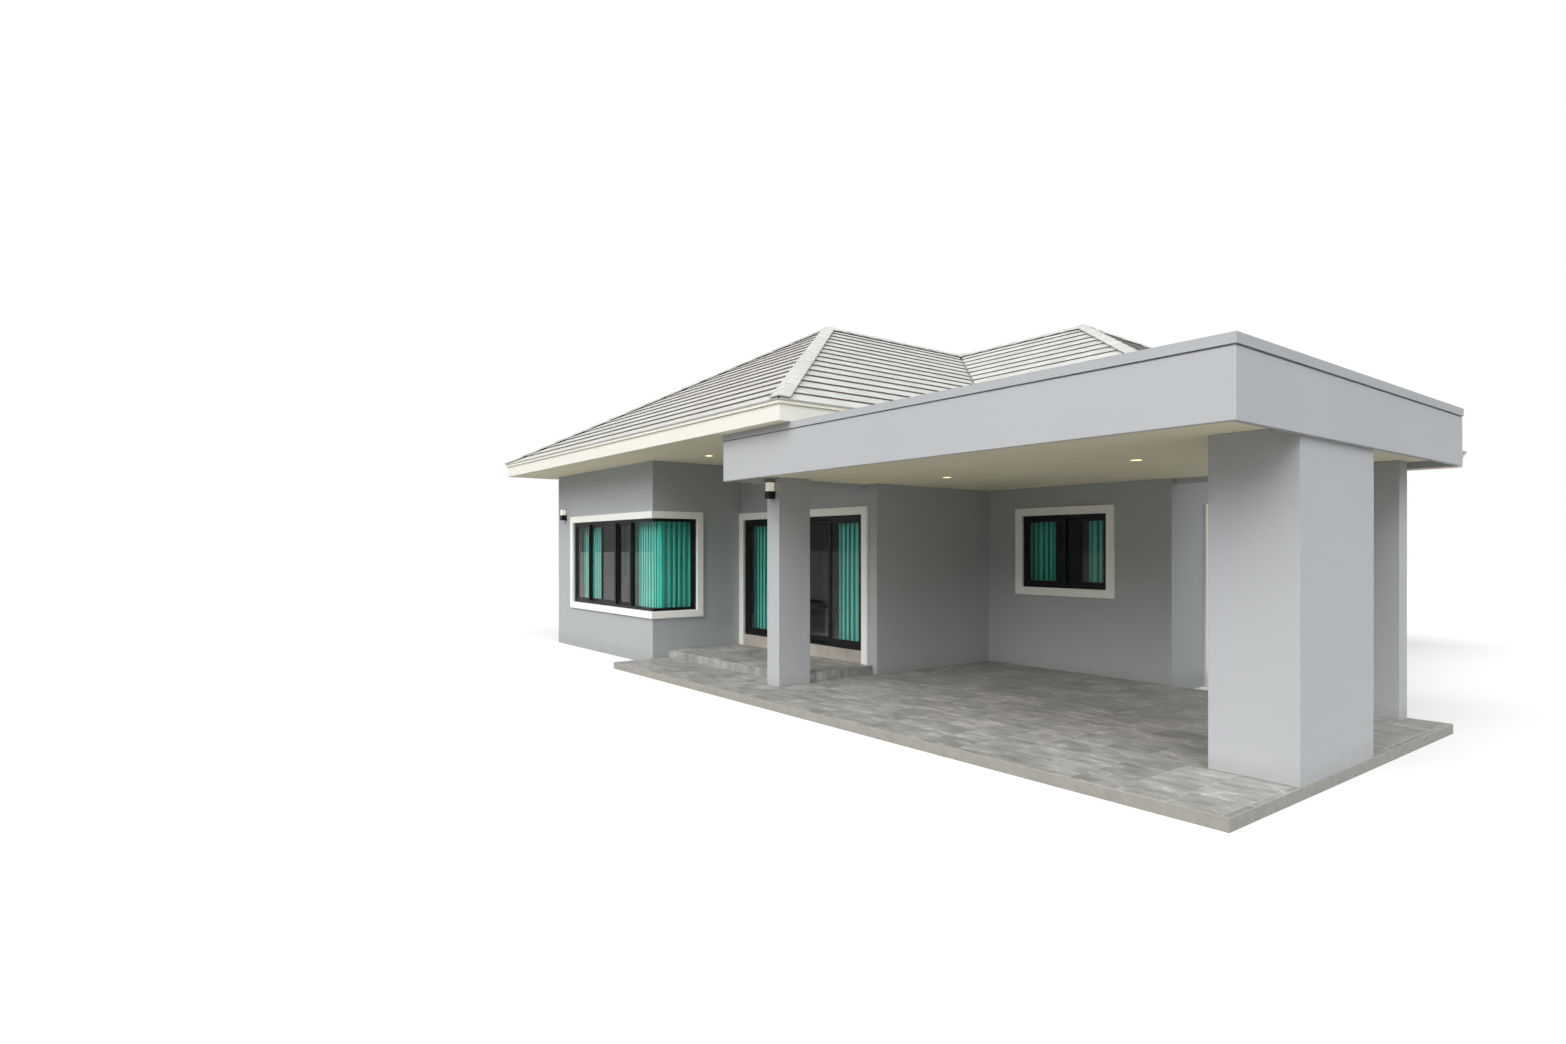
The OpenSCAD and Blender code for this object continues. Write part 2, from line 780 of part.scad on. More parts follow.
module corner_window_frame()
    color(dark) {
        // Frame of the sliding part
        translate([x_corner_window, y_front + frame_inset, corner_sill])
            bar_frame(corner_front_w - corner_pane_w, corner_h, frame_w, window_frame_d);
        // Head and sill channels that run on round the corner to the far jamb
        for (z = [corner_sill, head_level - frame_w]) translate([0, 0, z])
            linear_extrude(frame_w) difference() {
                translate([x_corner_mullion, y_front + frame_inset])
                    square([x_wing - frame_inset - x_corner_mullion, corner_pane_w - frame_inset]);
                translate([x_corner_mullion - cut, y_front + frame_inset + window_frame_d])
                    square([x_wing - frame_inset - window_frame_d - x_corner_mullion + cut, corner_pane_w]);
            }
        box(x_wing - frame_inset - window_frame_d, x_wing - frame_inset,
            y_corner_end - frame_w, y_corner_end, corner_sill, head_level);
        for (i = [0 : corner_sashes - 1]) at_corner_sash(i) {
            bar_frame(corner_sash_w, corner_h - 2 * frame_w, sash_w, sash_t);
            if (i % 2 == 1) translate([sash_w / 2, sash_t, corner_h / 2 - frame_w]) latch();
        }
    }

module corner_window_glass()
    color(clear) {
        for (i = [0 : corner_sashes - 1])
            at_corner_sash(i) sash_pane(corner_sash_w, corner_h - 2 * frame_w, sash_w, sash_t);
        // The two frameless panes meet at the corner
        corner_mid = frame_inset + (window_frame_d - glass_t) / 2;
        translate([0, 0, corner_sill + frame_w]) linear_extrude(corner_h - 2 * frame_w) {
            translate([x_corner_mullion + frame_w, y_front + corner_mid])
                square([corner_pane_w - corner_mid, glass_t]);
            translate([x_wing - corner_mid - glass_t, y_front + corner_mid])
                square([glass_t, corner_pane_w - frame_w - corner_mid]);
        }
    }

module entry_frame()
    color(dark) {
        difference() {
            box(x_door, x_door + entry_open_w, y_entry + frame_inset, y_entry + frame_inset + entry_frame_d,
                floor_level, head_level);
            box(x_door_clear, x_door_clear + door_clear_w, y_entry, y_entry + wall_t + cut,
                z_track, z_track + panel_h);
        }
        for (x = [x_door_clear, x_door_clear + door_clear_w - panel_w])
            translate([x, y_fixed_panel, z_track]) bar_frame(panel_w, panel_h, stile_w, panel_t, foot_rail_h);
        // Rubber blocks on the track stop an open panel before the jambs
        for (x = [x_door_clear, x_door_clear + door_clear_w - stop_gap + running_gap])
            translate([x, y_sliding_panel + (panel_t - stop_w) / 2, z_track])
                cube([stop_gap - running_gap, stop_w, stop_h]);
    }

module entry_fixed_glass()
    color(clear) for (x = [x_door_clear, x_door_clear + door_clear_w - panel_w])
        translate([x, y_fixed_panel, z_track]) sash_pane(panel_w, panel_h, stile_w, panel_t, foot_rail_h);

// A sliding panel with its lower left corner at the origin and its handle beside the right stile
module sliding_panel() {
    bar_frame(panel_w, sliding_h, stile_w, panel_t, foot_rail_h);
    for (x = [roller_end_gap, panel_w - roller_end_gap - roller_l])
        translate([x, (panel_t - roller_w) / 2, -running_gap + roller_gap])
            cube([roller_l, roller_w, running_gap - roller_gap]);
    // The handle is a bent bar: its side view, with rounded outer corners, drawn out along x
    translate([panel_w - (stile_w + handle_w) / 2, panel_t, handle_level - handle_h / 2])
        rotate([90, 0, 90]) linear_extrude(handle_w) difference() {
            translate([-handle_r, 0]) rounded(handle_out + handle_r, handle_h, handle_r);
            translate([-handle_r - cut, -cut]) square([handle_r + cut, handle_h + 2 * cut]);
            translate([-cut, handle_bar]) square([handle_out - handle_bar + cut, handle_h - 2 * handle_bar]);
        }
}

module at_left_panel()
    translate([x_door_middle - running_gap / 2 - panel_w, y_sliding_panel, z_track + running_gap])
        children();

module at_right_panel()
    translate([x_door_middle + running_gap / 2, y_sliding_panel, z_track + running_gap])
        translate([panel_w, 0, 0]) mirror([1, 0, 0]) children();

module left_sliding_panel()
    color(dark) at_left_panel() sliding_panel();

module left_sliding_glass()
    color(clear) at_left_panel() sash_pane(panel_w, sliding_h, stile_w, panel_t, foot_rail_h);

module right_sliding_panel()
    color(dark) at_right_panel() sliding_panel();

module right_sliding_glass()
    color(clear) at_right_panel() sash_pane(panel_w, sliding_h, stile_w, panel_t, foot_rail_h);

module side_door()
    color(pale) on_wall("east", side_door_middle) {
        difference() {
            box(-side_door_w / 2, side_door_w / 2, frame_inset, frame_inset + window_frame_d,
                floor_level, head_level);
            box(-side_door_w / 2 + frame_w, side_door_w / 2 - frame_w, 0, wall_t,
                floor_level - cut, head_level - frame_w);
        }
        translate([-leaf_w / 2, frame_inset, floor_level]) panelled_leaf();
        for (face = [0, 1])
            translate([leaf_w / 2 - lever_edge, frame_inset + face * side_leaf_t, lever_level])
                mirror([0, 1 - face, 0]) lever();
    }

// The leaf, with a raised field in each sunk panel on both faces
module panelled_leaf()
    difference() {
        cube([leaf_w, side_leaf_t, leaf_h]);
        for (i = [0 : side_panels_across - 1], k = [0 : side_panels_up - 1], face = [0, 1])
            translate([side_stile_w + i * (side_panel_w + side_stile_w), face * side_leaf_t,
                       side_stile_w + k * (side_panel_h + side_stile_w)])
                mirror([0, face, 0]) panel_sink();
    }

// What is cut from a face at the origin towards +Y to leave a raised field
module panel_sink()
    difference() {
        translate([0, -cut, 0]) cube([side_panel_w, side_panel_d + cut, side_panel_h]);
        translate([side_field_in, side_panel_d - side_field_out, side_field_in])
            cube([side_panel_w - 2 * side_field_in, side_field_out + cut, side_panel_h - 2 * side_field_in]);
    }

// A lever on its rose, standing on a face at the origin towards +Y
module lever() {
    rotate([-90, 0, 0]) {
        cylinder(h = lever_rose_t, r = lever_rose_r);
        cylinder(h = lever_out, r = lever_neck_r, $fn = small_fn);
    }
    translate([-lever_l + lever_neck_r, lever_out - lever_t, -lever_w / 2])
        rotate([90, 0, 90]) linear_extrude(lever_l) lever_section();
}

module lever_section()
    translate([lever_t / 2, lever_w / 2])
        scale([lever_t / lever_w, 1]) circle(lever_w / 2, $fn = small_fn);

module side_step()
    color(floor_grey)
        translate([x_east, side_door_middle - side_door_w / 2, 0])
            cube([side_step_d, side_door_w, side_step_h]);

// Plan of a wall lamp, moved in by a distance
module lamp_plan(inside)
    translate([inside - lamp_w / 2, inside - lamp_w / 2])
        rounded(lamp_w - 2 * inside, lamp_w - 2 * inside, lamp_r);

// A lamp against a face that looks to -Y, its back at the origin
module wall_lamp()
    translate([0, -lamp_w / 2, -lamp_h / 2]) {
        linear_extrude(lamp_body_h) lamp_plan(0);
        linear_extrude(lamp_h) lamp_plan(lamp_lens_in);
        for (i = [0 : lamp_ribs - 1])
            translate([0, 0, lamp_body_h + i * lamp_rib_pitch + lamp_rib_gap])
                linear_extrude(lamp_rib_pitch - lamp_rib_gap) lamp_plan(lamp_rib_in);
        translate([0, 0, lamp_h - lamp_lid_t]) linear_extrude(lamp_lid_t) lamp_plan(0);
        box(-lamp_w / 2 + lamp_r, lamp_w / 2 - lamp_r, lamp_w / 2 - lamp_plate_t, lamp_w / 2, 0, lamp_h);
    }

module wall_lamps()
    color(dark) {
        translate([x_west + wing_lamp_x, y_front, wing_lamp_level]) wall_lamp();
        translate([x_carport_left + entry_column_w / 2, y_front, post_lamp_level]) wall_lamp();
    }

// A recessed light under a ceiling, turned in one: the eased ring, its bevel and the lens inside it
module downlight() {
    outer = downlight_d / 2;
    inner = outer - downlight_ring_w;
    rotate_extrude() polygon([
        [0, 0], [outer, 0], [outer, -downlight_ring_t + downlight_ease],
        [outer - downlight_ease, -downlight_ring_t], [inner + downlight_ease, -downlight_ring_t],
        [inner, -downlight_lens_t], [0, -downlight_lens_t]
    ]);
}

module downlights()
    color(warm) {
        for (x = [carport_light_x, carport_light_x + carport_light_step])
            translate([x_entry + x, light_y, carport_ceiling_level]) downlight();
        translate([x_wing + porch_light_x, y_front + porch_light_y, soffit_level]) downlight();
    }

// A track on three brackets over an opening, in wall coordinates with y from the inner face
module rail(x0, x1)
    translate([0, 0, head_level + rail_over]) {
        difference() {
            box(x0 - rail_past, x1 + rail_past, rail_y - rail_w / 2, rail_y + rail_w / 2, 0, rail_h);
            box(x0 - rail_past - cut, x1 + rail_past + cut,
                rail_y - rail_slot_w / 2, rail_y + rail_slot_w / 2, -cut, rail_slot_h);
        }
        for (x = [x0 - rail_past + bracket_in, (x0 + x1) / 2, x1 + rail_past - bracket_in])
            translate([x - bracket_w / 2, 0, rail_h]) rotate([90, 0, 90]) linear_extrude(bracket_w) polygon([
                [0, 0], [rail_y + rail_w / 2, 0], [rail_y + rail_w / 2, bracket_t],
                [bracket_t, bracket_t], [bracket_t, bracket_h], [0, bracket_h]
            ]);
    }

// A drawn curtain under its track, in the same coordinates
module curtain(x0, x1, bottom)
    box(x0, x1, curtain_back, curtain_back + curtain_t, bottom, head_level + rail_over - curtain_rail_gap);

module curtain_rails()
    color(pale) {
        for (w = PLAIN_WINDOWS) on_wall(w[0], w[1]) translate([0, wall_t, 0])
            rail(-window_w / 2, window_w / 2);
        translate([0, y_entry + wall_t, 0])
            rail(x_door + rail_past, x_door + entry_open_w - rail_past);
        translate([0, y_front + wall_t, 0])
            rail(x_corner_window, x_wing - wall_t - rail_past);
        translate([x_wing - wall_t, 0, 0]) rotate([0, 0, 90])
            rail(y_front + wall_t + rail_d + rail_past, y_corner_end);
    }

module curtains()
    color(teal) {
        for (w = PLAIN_WINDOWS) on_wall(w[0], w[1]) translate([0, wall_t, 0]) {
            curtain(-window_w / 2, -window_w / 2 + curtain_w, window_sill - curtain_below_sill);
            curtain(window_w / 2 - curtain_w, window_w / 2, window_sill - curtain_below_sill);
        }
        translate([0, y_entry + wall_t, 0]) {
            curtain(x_door, x_door + panel_w, floor_level + curtain_floor_gap);
            curtain(x_door + entry_open_w - panel_w, x_door + entry_open_w, floor_level + curtain_floor_gap);
        }
        translate([0, y_front + wall_t, 0]) {
            curtain(x_corner_window, x_corner_window + 2 * curtain_w, corner_sill - curtain_below_sill);
            curtain(x_corner_mullion, x_wing - wall_t - curtain_end_gap, corner_sill - curtain_below_sill);
        }
        translate([x_wing - wall_t, 0, 0]) rotate([0, 0, 90])
            curtain(y_front + wall_t + rail_d, y_corner_end, corner_sill - curtain_below_sill);
    }

house_floor();
carport_floor();
entry_terrace();
front_wall();
wing_side_wall();
entry_wall_left();
entry_wall_right();
entry_wall_over();
carport_side_wall();
carport_back_wall();
east_wall();
rear_wall();
west_wall();
entry_column();
front_pier();
rear_column();
carport_roof();
carport_fascia();
carport_cap();
roof_wing_front();
roof_wing_east();
roof_main_front();
roof_main_east();
roof_rear();
roof_west();
ridge_and_hip_caps();
eave_fascia();
eave_soffit();
house_ceiling();
window_surrounds();
door_surrounds();
corner_window_frame();
corner_window_glass();
window_frames();
window_glass();
entry_frame();
entry_fixed_glass();
left_sliding_panel();
left_sliding_glass();
right_sliding_panel();
right_sliding_glass();
side_door();
side_step();
wall_lamps();
downlights();
curtain_rails();
curtains();
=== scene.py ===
import json
import math
import random

import bpy
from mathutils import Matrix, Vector


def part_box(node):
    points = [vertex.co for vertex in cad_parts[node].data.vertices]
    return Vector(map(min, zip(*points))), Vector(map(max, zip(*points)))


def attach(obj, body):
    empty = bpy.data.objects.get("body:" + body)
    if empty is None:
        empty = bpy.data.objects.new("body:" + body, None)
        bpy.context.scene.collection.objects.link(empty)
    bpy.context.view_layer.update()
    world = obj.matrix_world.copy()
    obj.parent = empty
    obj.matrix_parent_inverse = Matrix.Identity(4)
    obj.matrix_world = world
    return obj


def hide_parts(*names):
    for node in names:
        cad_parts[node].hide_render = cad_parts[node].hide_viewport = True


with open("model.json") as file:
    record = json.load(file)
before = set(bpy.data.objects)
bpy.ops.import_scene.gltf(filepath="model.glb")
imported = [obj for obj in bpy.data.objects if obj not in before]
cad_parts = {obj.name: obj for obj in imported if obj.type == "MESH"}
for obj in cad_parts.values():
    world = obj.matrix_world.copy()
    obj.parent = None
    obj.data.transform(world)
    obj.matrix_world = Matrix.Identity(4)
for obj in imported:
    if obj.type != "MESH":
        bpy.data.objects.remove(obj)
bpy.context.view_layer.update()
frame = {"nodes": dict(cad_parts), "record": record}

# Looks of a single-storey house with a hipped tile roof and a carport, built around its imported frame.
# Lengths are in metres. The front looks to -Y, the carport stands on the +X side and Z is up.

# Camera, as fitted to the photograph
IMAGE_W, IMAGE_H = 1566, 1044
FOCAL_PIXELS = 818.8
HORIZON_ROW = 548.5
EYE = Vector((11.04, -14.43, 1.95))
LOOK_AZIMUTH = 53.0
SENSOR_W = 36.0
FAR_CLIP = 1000.0

# Lamps: name, strength, width in degrees, colour and direction of each, and the sky's strength
SUNS = [
    ("key", 2.85, 55, (1.0, 1.0, 0.99), Vector((-0.10, 1.0, -0.80))),
    ("side", 1.9, 60, (0.94, 0.98, 1.0), Vector((-1.0, 0.25, -0.80))),
]
SKY = 0.39

# Studio floor, which turns white between two distances from the middle
FLOOR_REACH = 400.0
FLOOR_LEVEL = -0.001
FADE_START, FADE_END = 16.0, 60.0

# Roof tiles
COURSES = 16
TILE_W = 0.30
TILE_JOINT = 0.003
TILE_NOTCH = 0.006
TILE_NOSE = 0.023
TILE_EASE = 0.006
TILE_HEAD_T = 0.012
TILE_LAP = 0.075
TILE_PLAY = 0.0012
TILE_SLIVER = 0.0015
COURSE_STEP = 0.025
UNDERLAY_TOP = -0.047
EAVE_BACK = 0.022
EAVE_BED_W = 0.025
EAVE_BED_GAP = 0.002
FOLD_GAP = 0.012
VALLEY_GAP = 0.018
VALLEY_TRAY_W = 0.110
VALLEY_TRAY_T = 0.002
VALLEY_TRAY_GAP = 0.0002

# Ridge and hip caps
CAP_HALF_W = 0.124
CAP_PITCH = 0.400
CAP_LAP = 0.060
CAP_T = 0.018
CAP_GAP = 0.001
CAP_RISE = 0.012
CAP_SLIVER = 0.0004
CAP_EASE = 0.003
HUB_REACH = 0.180
HUB_LOW, HUB_HIGH = 0.014, 0.033

# How far measured points of the roof may differ
SAME_PLANE = 0.0005
SAME_CORNER = 0.001
SAME_END = 0.003
ON_LINE = 1e-5

# Floor tiles
PAVER = 0.400
PAVER_JOINT = 0.005
PAVER_T = 0.0025
PAVER_EASE = 0.0010
PAVER_LEAST = 0.01

# Curtains: pleats, and how they wander, open and vary below the rail
FOLD_W = 0.110
FOLD_POINTS = 14
CURTAIN_ROWS = 22
FOLD_DEPTH = 0.68
FOLD_OPENS = 0.18
FOLD_VARIES = 0.14
FOLD_RIPPLES = 0.08
FOLD_MOST = 0.96
FOLD_WANDERS = 0.55
FOLD_BULGE = 0.12

# Wall lamps
LAMP_SPLIT = 0.098
LAMP_LID_T = 0.009
LAMP_RIBS = 6
LAMP_ROUND = 0.008
LAMP_BASE_T = 0.003
LAMP_BASE_IN = 0.004
LAMP_GLASS_IN = 0.0100
LAMP_RIB_IN = 0.0065
LAMP_EASE = 0.0015
LAMP_RIB_EASE = 0.0012

# Ceiling lights
TRIM_LIP = 0.004
TRIM_FACE = 0.012
TRIM_W = 0.018
LENS_IN = 0.0185
LENS_TIP = 0.004

# Window details
THICKEST_PANE = 0.05
GASKET_W = 0.007
GASKET_OUT = 0.004
BEAD_W = 0.007
MIRROR = 7.0

# Side door: its leaf, and its levers
LEAF_IN = 0.020
LEAF_T = 0.040
LEAF_HALF_W = 0.399
LEVER_LEVEL = 1.0
LEVER_HALF_H = 0.03
LEVER_OFF = 0.0005


class Tree:
    """A material's node tree, with short calls for the nodes that the finishes use."""

    def __init__(self, name):
        self.material = bpy.data.materials.new(name)
        self.material.use_nodes = True
        self.nodes = self.material.node_tree.nodes
        self.links = self.material.node_tree.links
        self.surface = self.nodes["Principled BSDF"]
        self.output = self.nodes["Material Output"]
        self.place = self.node("TexCoord").outputs["Object"]

    def feed(self, socket, value):
        """Links an output to a socket, or gives the socket a value."""
        if isinstance(value, bpy.types.NodeSocket):
            self.links.new(value, socket)
        else:
            socket.default_value = value

    def node(self, kind, inputs=(), **settings):
        made = self.nodes.new("ShaderNode" + kind)
        for key, value in settings.items():
            setattr(made, key, value)
        for key, value in dict(inputs).items():
            self.feed(made.inputs[key], value)
        return made

    def noise(self, scale, detail=2.0, place=None):
        inputs = {"Vector": place or self.place, "Scale": scale, "Detail": detail}
        return self.node("TexNoise", inputs).outputs[0]

    def math(self, operation, a, b=0.0, c=0.0):
        return self.node("Math", {0: a, 1: b, 2: c}, operation=operation).outputs[0]

    def ramp(self, value, low, high):
        """The share of the way from low to high, held between 0 and 1."""
        inputs = {"Value": value, "From Min": low, "From Max": high}
        return self.node("MapRange", inputs).outputs[0]

    def mix(self, share, a, b):
        made = self.node("Mix", {0: share, 6: a, 7: b}, data_type="RGBA")
        return made.outputs[2]

    def stretched(self, x, y, z):
        return self.node("Mapping", {"Vector": self.place, "Scale": (x, y, z)}).outputs[0]

    def axis(self, name, vector=None):
        return self.node("SeparateXYZ", {0: vector or self.place}).outputs[name]

    def facing(self, name):
        """One component of the surface's own normal."""
        return self.axis(name, self.node("NewGeometry").outputs["True Normal"])

    def island(self):
        """A random value that is the same all over one loose part of a mesh."""
        return self.node("NewGeometry").outputs["Random Per Island"]

    def bump(self, height, distance, under=None):
        inputs = {"Height": height, "Distance": distance, "Strength": 1.0}
        if under:
            inputs["Normal"] = under
        return self.node("Bump", inputs).outputs[0]

    def finish(self, colour, roughness, normal=None, **sockets):
        self.feed(self.surface.inputs["Base Color"], colour)
        self.feed(self.surface.inputs["Roughness"], roughness)
        if normal:
            self.feed(self.surface.inputs["Normal"], normal)
        for key, value in sockets.items():
            self.feed(self.surface.inputs[key.replace("_", " ")], value)
        return self.material


def rgb(*values):
    """A colour for the shader from its 0 to 255 values on the screen."""
    shares = [v / 255 for v in values]
    linear = [s / 12.92 if s <= 0.04045 else ((s + 0.055) / 1.055) ** 2.4 for s in shares]
    return (*linear, 1.0)


def shade(colour, factor):
    return (*[min(1.0, c * factor) for c in colour[:3]], 1.0)


def house_rooms():
    """The rectangles of the house plan, as middles and half sizes, reaching halfway into the walls."""
    entry_front, entry_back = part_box("entry_wall_over")[0].y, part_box("entry_wall_over")[1].y
    half_wall = (entry_back - entry_front) / 2
    west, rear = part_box("west_wall")[0].x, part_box("rear_wall")[1].y
    parts = [
        (west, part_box("front_wall")[1].x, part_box("front_wall")[0].y),
        (west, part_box("carport_side_wall")[1].x, entry_front),
        (west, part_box("east_wall")[1].x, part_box("carport_back_wall")[0].y),
    ]
    return [
        ((x0 + x1) / 2, (y0 + rear) / 2, (x1 - x0) / 2 - half_wall, (rear - y0) / 2 - half_wall)
        for x0, x1, y0 in parts
    ]


def indoors(tree):
    """1 where a surface lies inside the house, and 0 outside."""
    x, y = tree.axis("X"), tree.axis("Y")
    found = 0.0
    for mid_x, mid_y, half_x, half_y in house_rooms():
        in_x = tree.math("COMPARE", x, mid_x, half_x)
        in_y = tree.math("COMPARE", y, mid_y, half_y)
        found = tree.math("MAXIMUM", tree.math("MULTIPLY", in_x, in_y), found)
    return found


# Finishes


def render_coat(name, colour, indoor_shade=False, smooth=False):
    """Painted render: soft trowel patches, sand grain, a trace of splash at the foot, and where asked
    painted shade on its faces inside the house.
    """
    t = Tree(name)
    patches = t.noise(0.8, 3.0)
    trowel = t.noise(7.0, 4.0, t.stretched(1.0, 1.0, 1.6))
    tone = t.mix(patches, shade(colour, 0.955), shade(colour, 1.035))
    tone = t.mix(t.math("MULTIPLY", trowel, 0.16), tone, shade(colour, 0.86))
    splash = t.math("ADD", t.axis("Z"), t.math("MULTIPLY", t.noise(5.0, 3.0), -0.22))
    foot = t.math("MULTIPLY", t.ramp(splash, 0.16, 0.0), 0.20)
    tone = t.mix(foot, tone, rgb(120, 112, 100))
    # Faces inside the house get a darker grey: painted shade that stands for the dim rooms.
    if indoor_shade:
        tone = t.mix(indoors(t), tone, rgb(112, 111, 108))
    fine = t.bump(t.noise(320.0, 2.0), 0.0003 if smooth else 0.0008)
    wavy = t.bump(trowel, 0.0008 if smooth else 0.0018, fine)
    return t.finish(tone, t.ramp(patches, -1.6, 1.9), wavy)


def board(name, colour):
    """Painted board with roller texture and filled joints, and a grey sealed deck on its upper side."""
    t = Tree(name)
    tone = t.mix(t.noise(1.3, 2.0), shade(colour, 0.96), shade(colour, 1.03))
    sheet = {"Vector": t.place, "Scale": 1.0, "Mortar Size": 0.003, "Mortar Smooth": 1.0}
    sheet.update({"Brick Width": 2.4, "Row Height": 1.2, "Bias": 0.0})
    joints = t.node("TexBrick", sheet).outputs["Fac"]
    tone = t.mix(t.math("MULTIPLY", joints, 0.25), tone, shade(colour, 0.80))
    stains = t.mix(t.ramp(t.noise(0.9, 5.0), 0.35, 0.68), rgb(168, 168, 165), rgb(138, 136, 130))
    tone = t.mix(t.math("GREATER_THAN", t.facing("Z"), 0.5), tone, stains)
    roller = t.bump(t.noise(240.0, 2.0), 0.0003)
    return t.finish(tone, 0.72, roller)


def fascia_paint(name, colour):
    """Satin paint on long boards, with faint grain along them and rain marks below the tiles."""
    t = Tree(name)
    grain = t.noise(6.0, 4.0, t.stretched(0.25, 0.25, 9.0))
    tone = t.mix(grain, shade(colour, 0.965), shade(colour, 1.02))
    streaks = t.noise(3.0, 3.0, t.stretched(7.0, 7.0, 0.35))
    marks = t.math("MULTIPLY", t.ramp(streaks, 0.55, 0.80), 0.10)
    tone = t.mix(marks, tone, rgb(165, 155, 135))
    return t.finish(tone, 0.50, t.bump(grain, 0.0004))


def cap_sheet():
    """Painted sheet metal over the carport's edge, with slight waves between its fixings."""
    t = Tree("cap_metal")
    colour = rgb(173, 176, 179)
    tone = t.mix(t.noise(1.1, 2.0), shade(colour, 0.96), shade(colour, 1.03))
    waves = t.noise(2.4, 1.0, t.stretched(1.0, 1.0, 3.0))
    return t.finish(tone, 0.42, t.bump(waves, 0.002))


def roof_paint(name, raw_and_shaded_edges):
    """White coated concrete tiles: own tones, specks, and where asked brown-grey edges on the faces
    that look sideways or down, partly raw concrete and partly painted shade.
    """
    t = Tree(name)
    tone = t.mix(t.island(), rgb(191, 190, 187), rgb(203, 202, 199))
    weather = t.ramp(t.noise(1.7, 5.0), 0.42, 0.72)
    tone = t.mix(t.math("MULTIPLY", weather, 0.16), tone, rgb(182, 176, 164))
    specks = t.ramp(t.noise(160.0, 3.0), 0.62, 0.72)
    tone = t.mix(t.math("MULTIPLY", specks, 0.14), tone, rgb(168, 164, 156))
    if raw_and_shaded_edges:
        # Faces that look sideways or down get a brown-grey that is partly raw concrete and partly
        # painted shade.
        edge = t.math("LESS_THAN", t.facing("Z"), 0.3)
        edge_tone_and_shade = t.mix(t.noise(30.0, 3.0), rgb(84, 76, 69), rgb(116, 107, 98))
        tone = t.mix(edge, tone, edge_tone_and_shade)
    grain = t.bump(t.noise(420.0, 2.0), 0.0004)
    return t.finish(tone, 0.68, t.bump(t.noise(14.0, 3.0), 0.0007, grain))


def underlay_sheet():
    t = Tree("roof_underlay")
    tone = t.mix(t.noise(22.0, 4.0), rgb(70, 62, 54), rgb(100, 90, 80))
    return t.finish(tone, 0.9, t.bump(t.noise(60.0, 3.0), 0.002))


def closure_board():
    """Painted mortar bed that closes the gap under the lowest tiles."""
    t = Tree("eaves_closure")
    tone = t.mix(t.noise(18.0, 4.0), rgb(226, 220, 207), rgb(238, 233, 221))
    return t.finish(tone, 0.9, t.bump(t.noise(50.0, 3.0), 0.002))


def valley_metal():
    t = Tree("valley_metal")
    tone = t.mix(t.noise(5.0, 3.0), rgb(150, 150, 148), rgb(184, 184, 180))
    return t.finish(tone, 0.45, t.bump(t.noise(9.0, 2.0), 0.001))


def stone_tile():
    """Grey stone-look floor tiles with soft veins, each tile with its own tone and shift of pattern."""
    t = Tree("floor_tile")
    shift = t.node("CombineXYZ", {2: t.math("MULTIPLY", t.island(), 40.0)}).outputs[0]
    moved = t.node("VectorMath", {0: t.place, 1: shift}, operation="ADD").outputs[0]
    lie = {"Vector": moved, "Rotation": (0.0, 0.0, 0.6), "Scale": (1.0, 2.6, 1.0)}
    veined = t.node("Mapping", lie).outputs[0]
    cloud = t.noise(3.4, 6.0, veined)
    tone = t.mix(t.ramp(cloud, 0.30, 0.70), rgb(138, 136, 132), rgb(178, 176, 171))
    wisps = t.math("ABSOLUTE", t.math("SUBTRACT", t.noise(2.1, 4.0, veined), 0.5))
    vein = t.math("MULTIPLY", t.ramp(wisps, 0.022, 0.0), t.ramp(cloud, 0.40, 0.62))
    tone = t.mix(t.math("MULTIPLY", vein, 0.55), tone, rgb(222, 221, 218))
    grit = t.ramp(t.noise(55.0, 4.0), 0.45, 0.75)
    tone = t.mix(t.math("MULTIPLY", grit, 0.22), tone, rgb(124, 121, 116))
    own = {0: 1.0, 6: tone, 7: t.mix(t.island(), rgb(226, 226, 226), rgb(255, 255, 255))}
    tone = t.node("Mix", own, data_type="RGBA", blend_type="MULTIPLY").outputs[2]
    relief = t.bump(cloud, 0.0015)
    return t.finish(tone, t.ramp(cloud, -0.6, 1.3), relief)


def grout():
    """Pale grout between the floor tiles, and the bare concrete edge of the raised floors."""
    t = Tree("floor_bed")
    tone = t.mix(t.noise(14.0, 4.0), rgb(140, 137, 131), rgb(168, 165, 158))
    tone = t.mix(t.math("GREATER_THAN", t.facing("Z"), 0.5), tone, rgb(214, 210, 202))
    return t.finish(tone, 0.9, t.bump(t.noise(90.0, 3.0), 0.001))


def slab_finish():
    """Pale polished tiles on the house floor, and grey-brown tiles on its upright edges."""
    t = Tree("house_slab")
    sizes = {"Vector": t.place, "Scale": 1.0, "Mortar Size": 0.002, "Mortar Smooth": 0.2}
    sizes.update({"Brick Width": 0.6, "Row Height": 0.6, "Bias": 0.0})
    joints = t.node("TexBrick", sizes, offset=0.0).outputs["Fac"]
    veins = t.noise(1.9, 7.0, t.stretched(1.0, 1.6, 1.0))
    tone = t.mix(t.ramp(veins, 0.35, 0.75), rgb(206, 203, 197), rgb(182, 178, 171))
    riser = t.mix(t.ramp(veins, 0.35, 0.70), rgb(186, 178, 168), rgb(158, 151, 142))
    tone = t.mix(t.math("GREATER_THAN", t.facing("Z"), 0.5), riser, tone)
    tone = t.mix(joints, tone, rgb(120, 117, 112))
    return t.finish(tone, 0.22, t.bump(t.math("SUBTRACT", 1.0, joints), 0.0008))


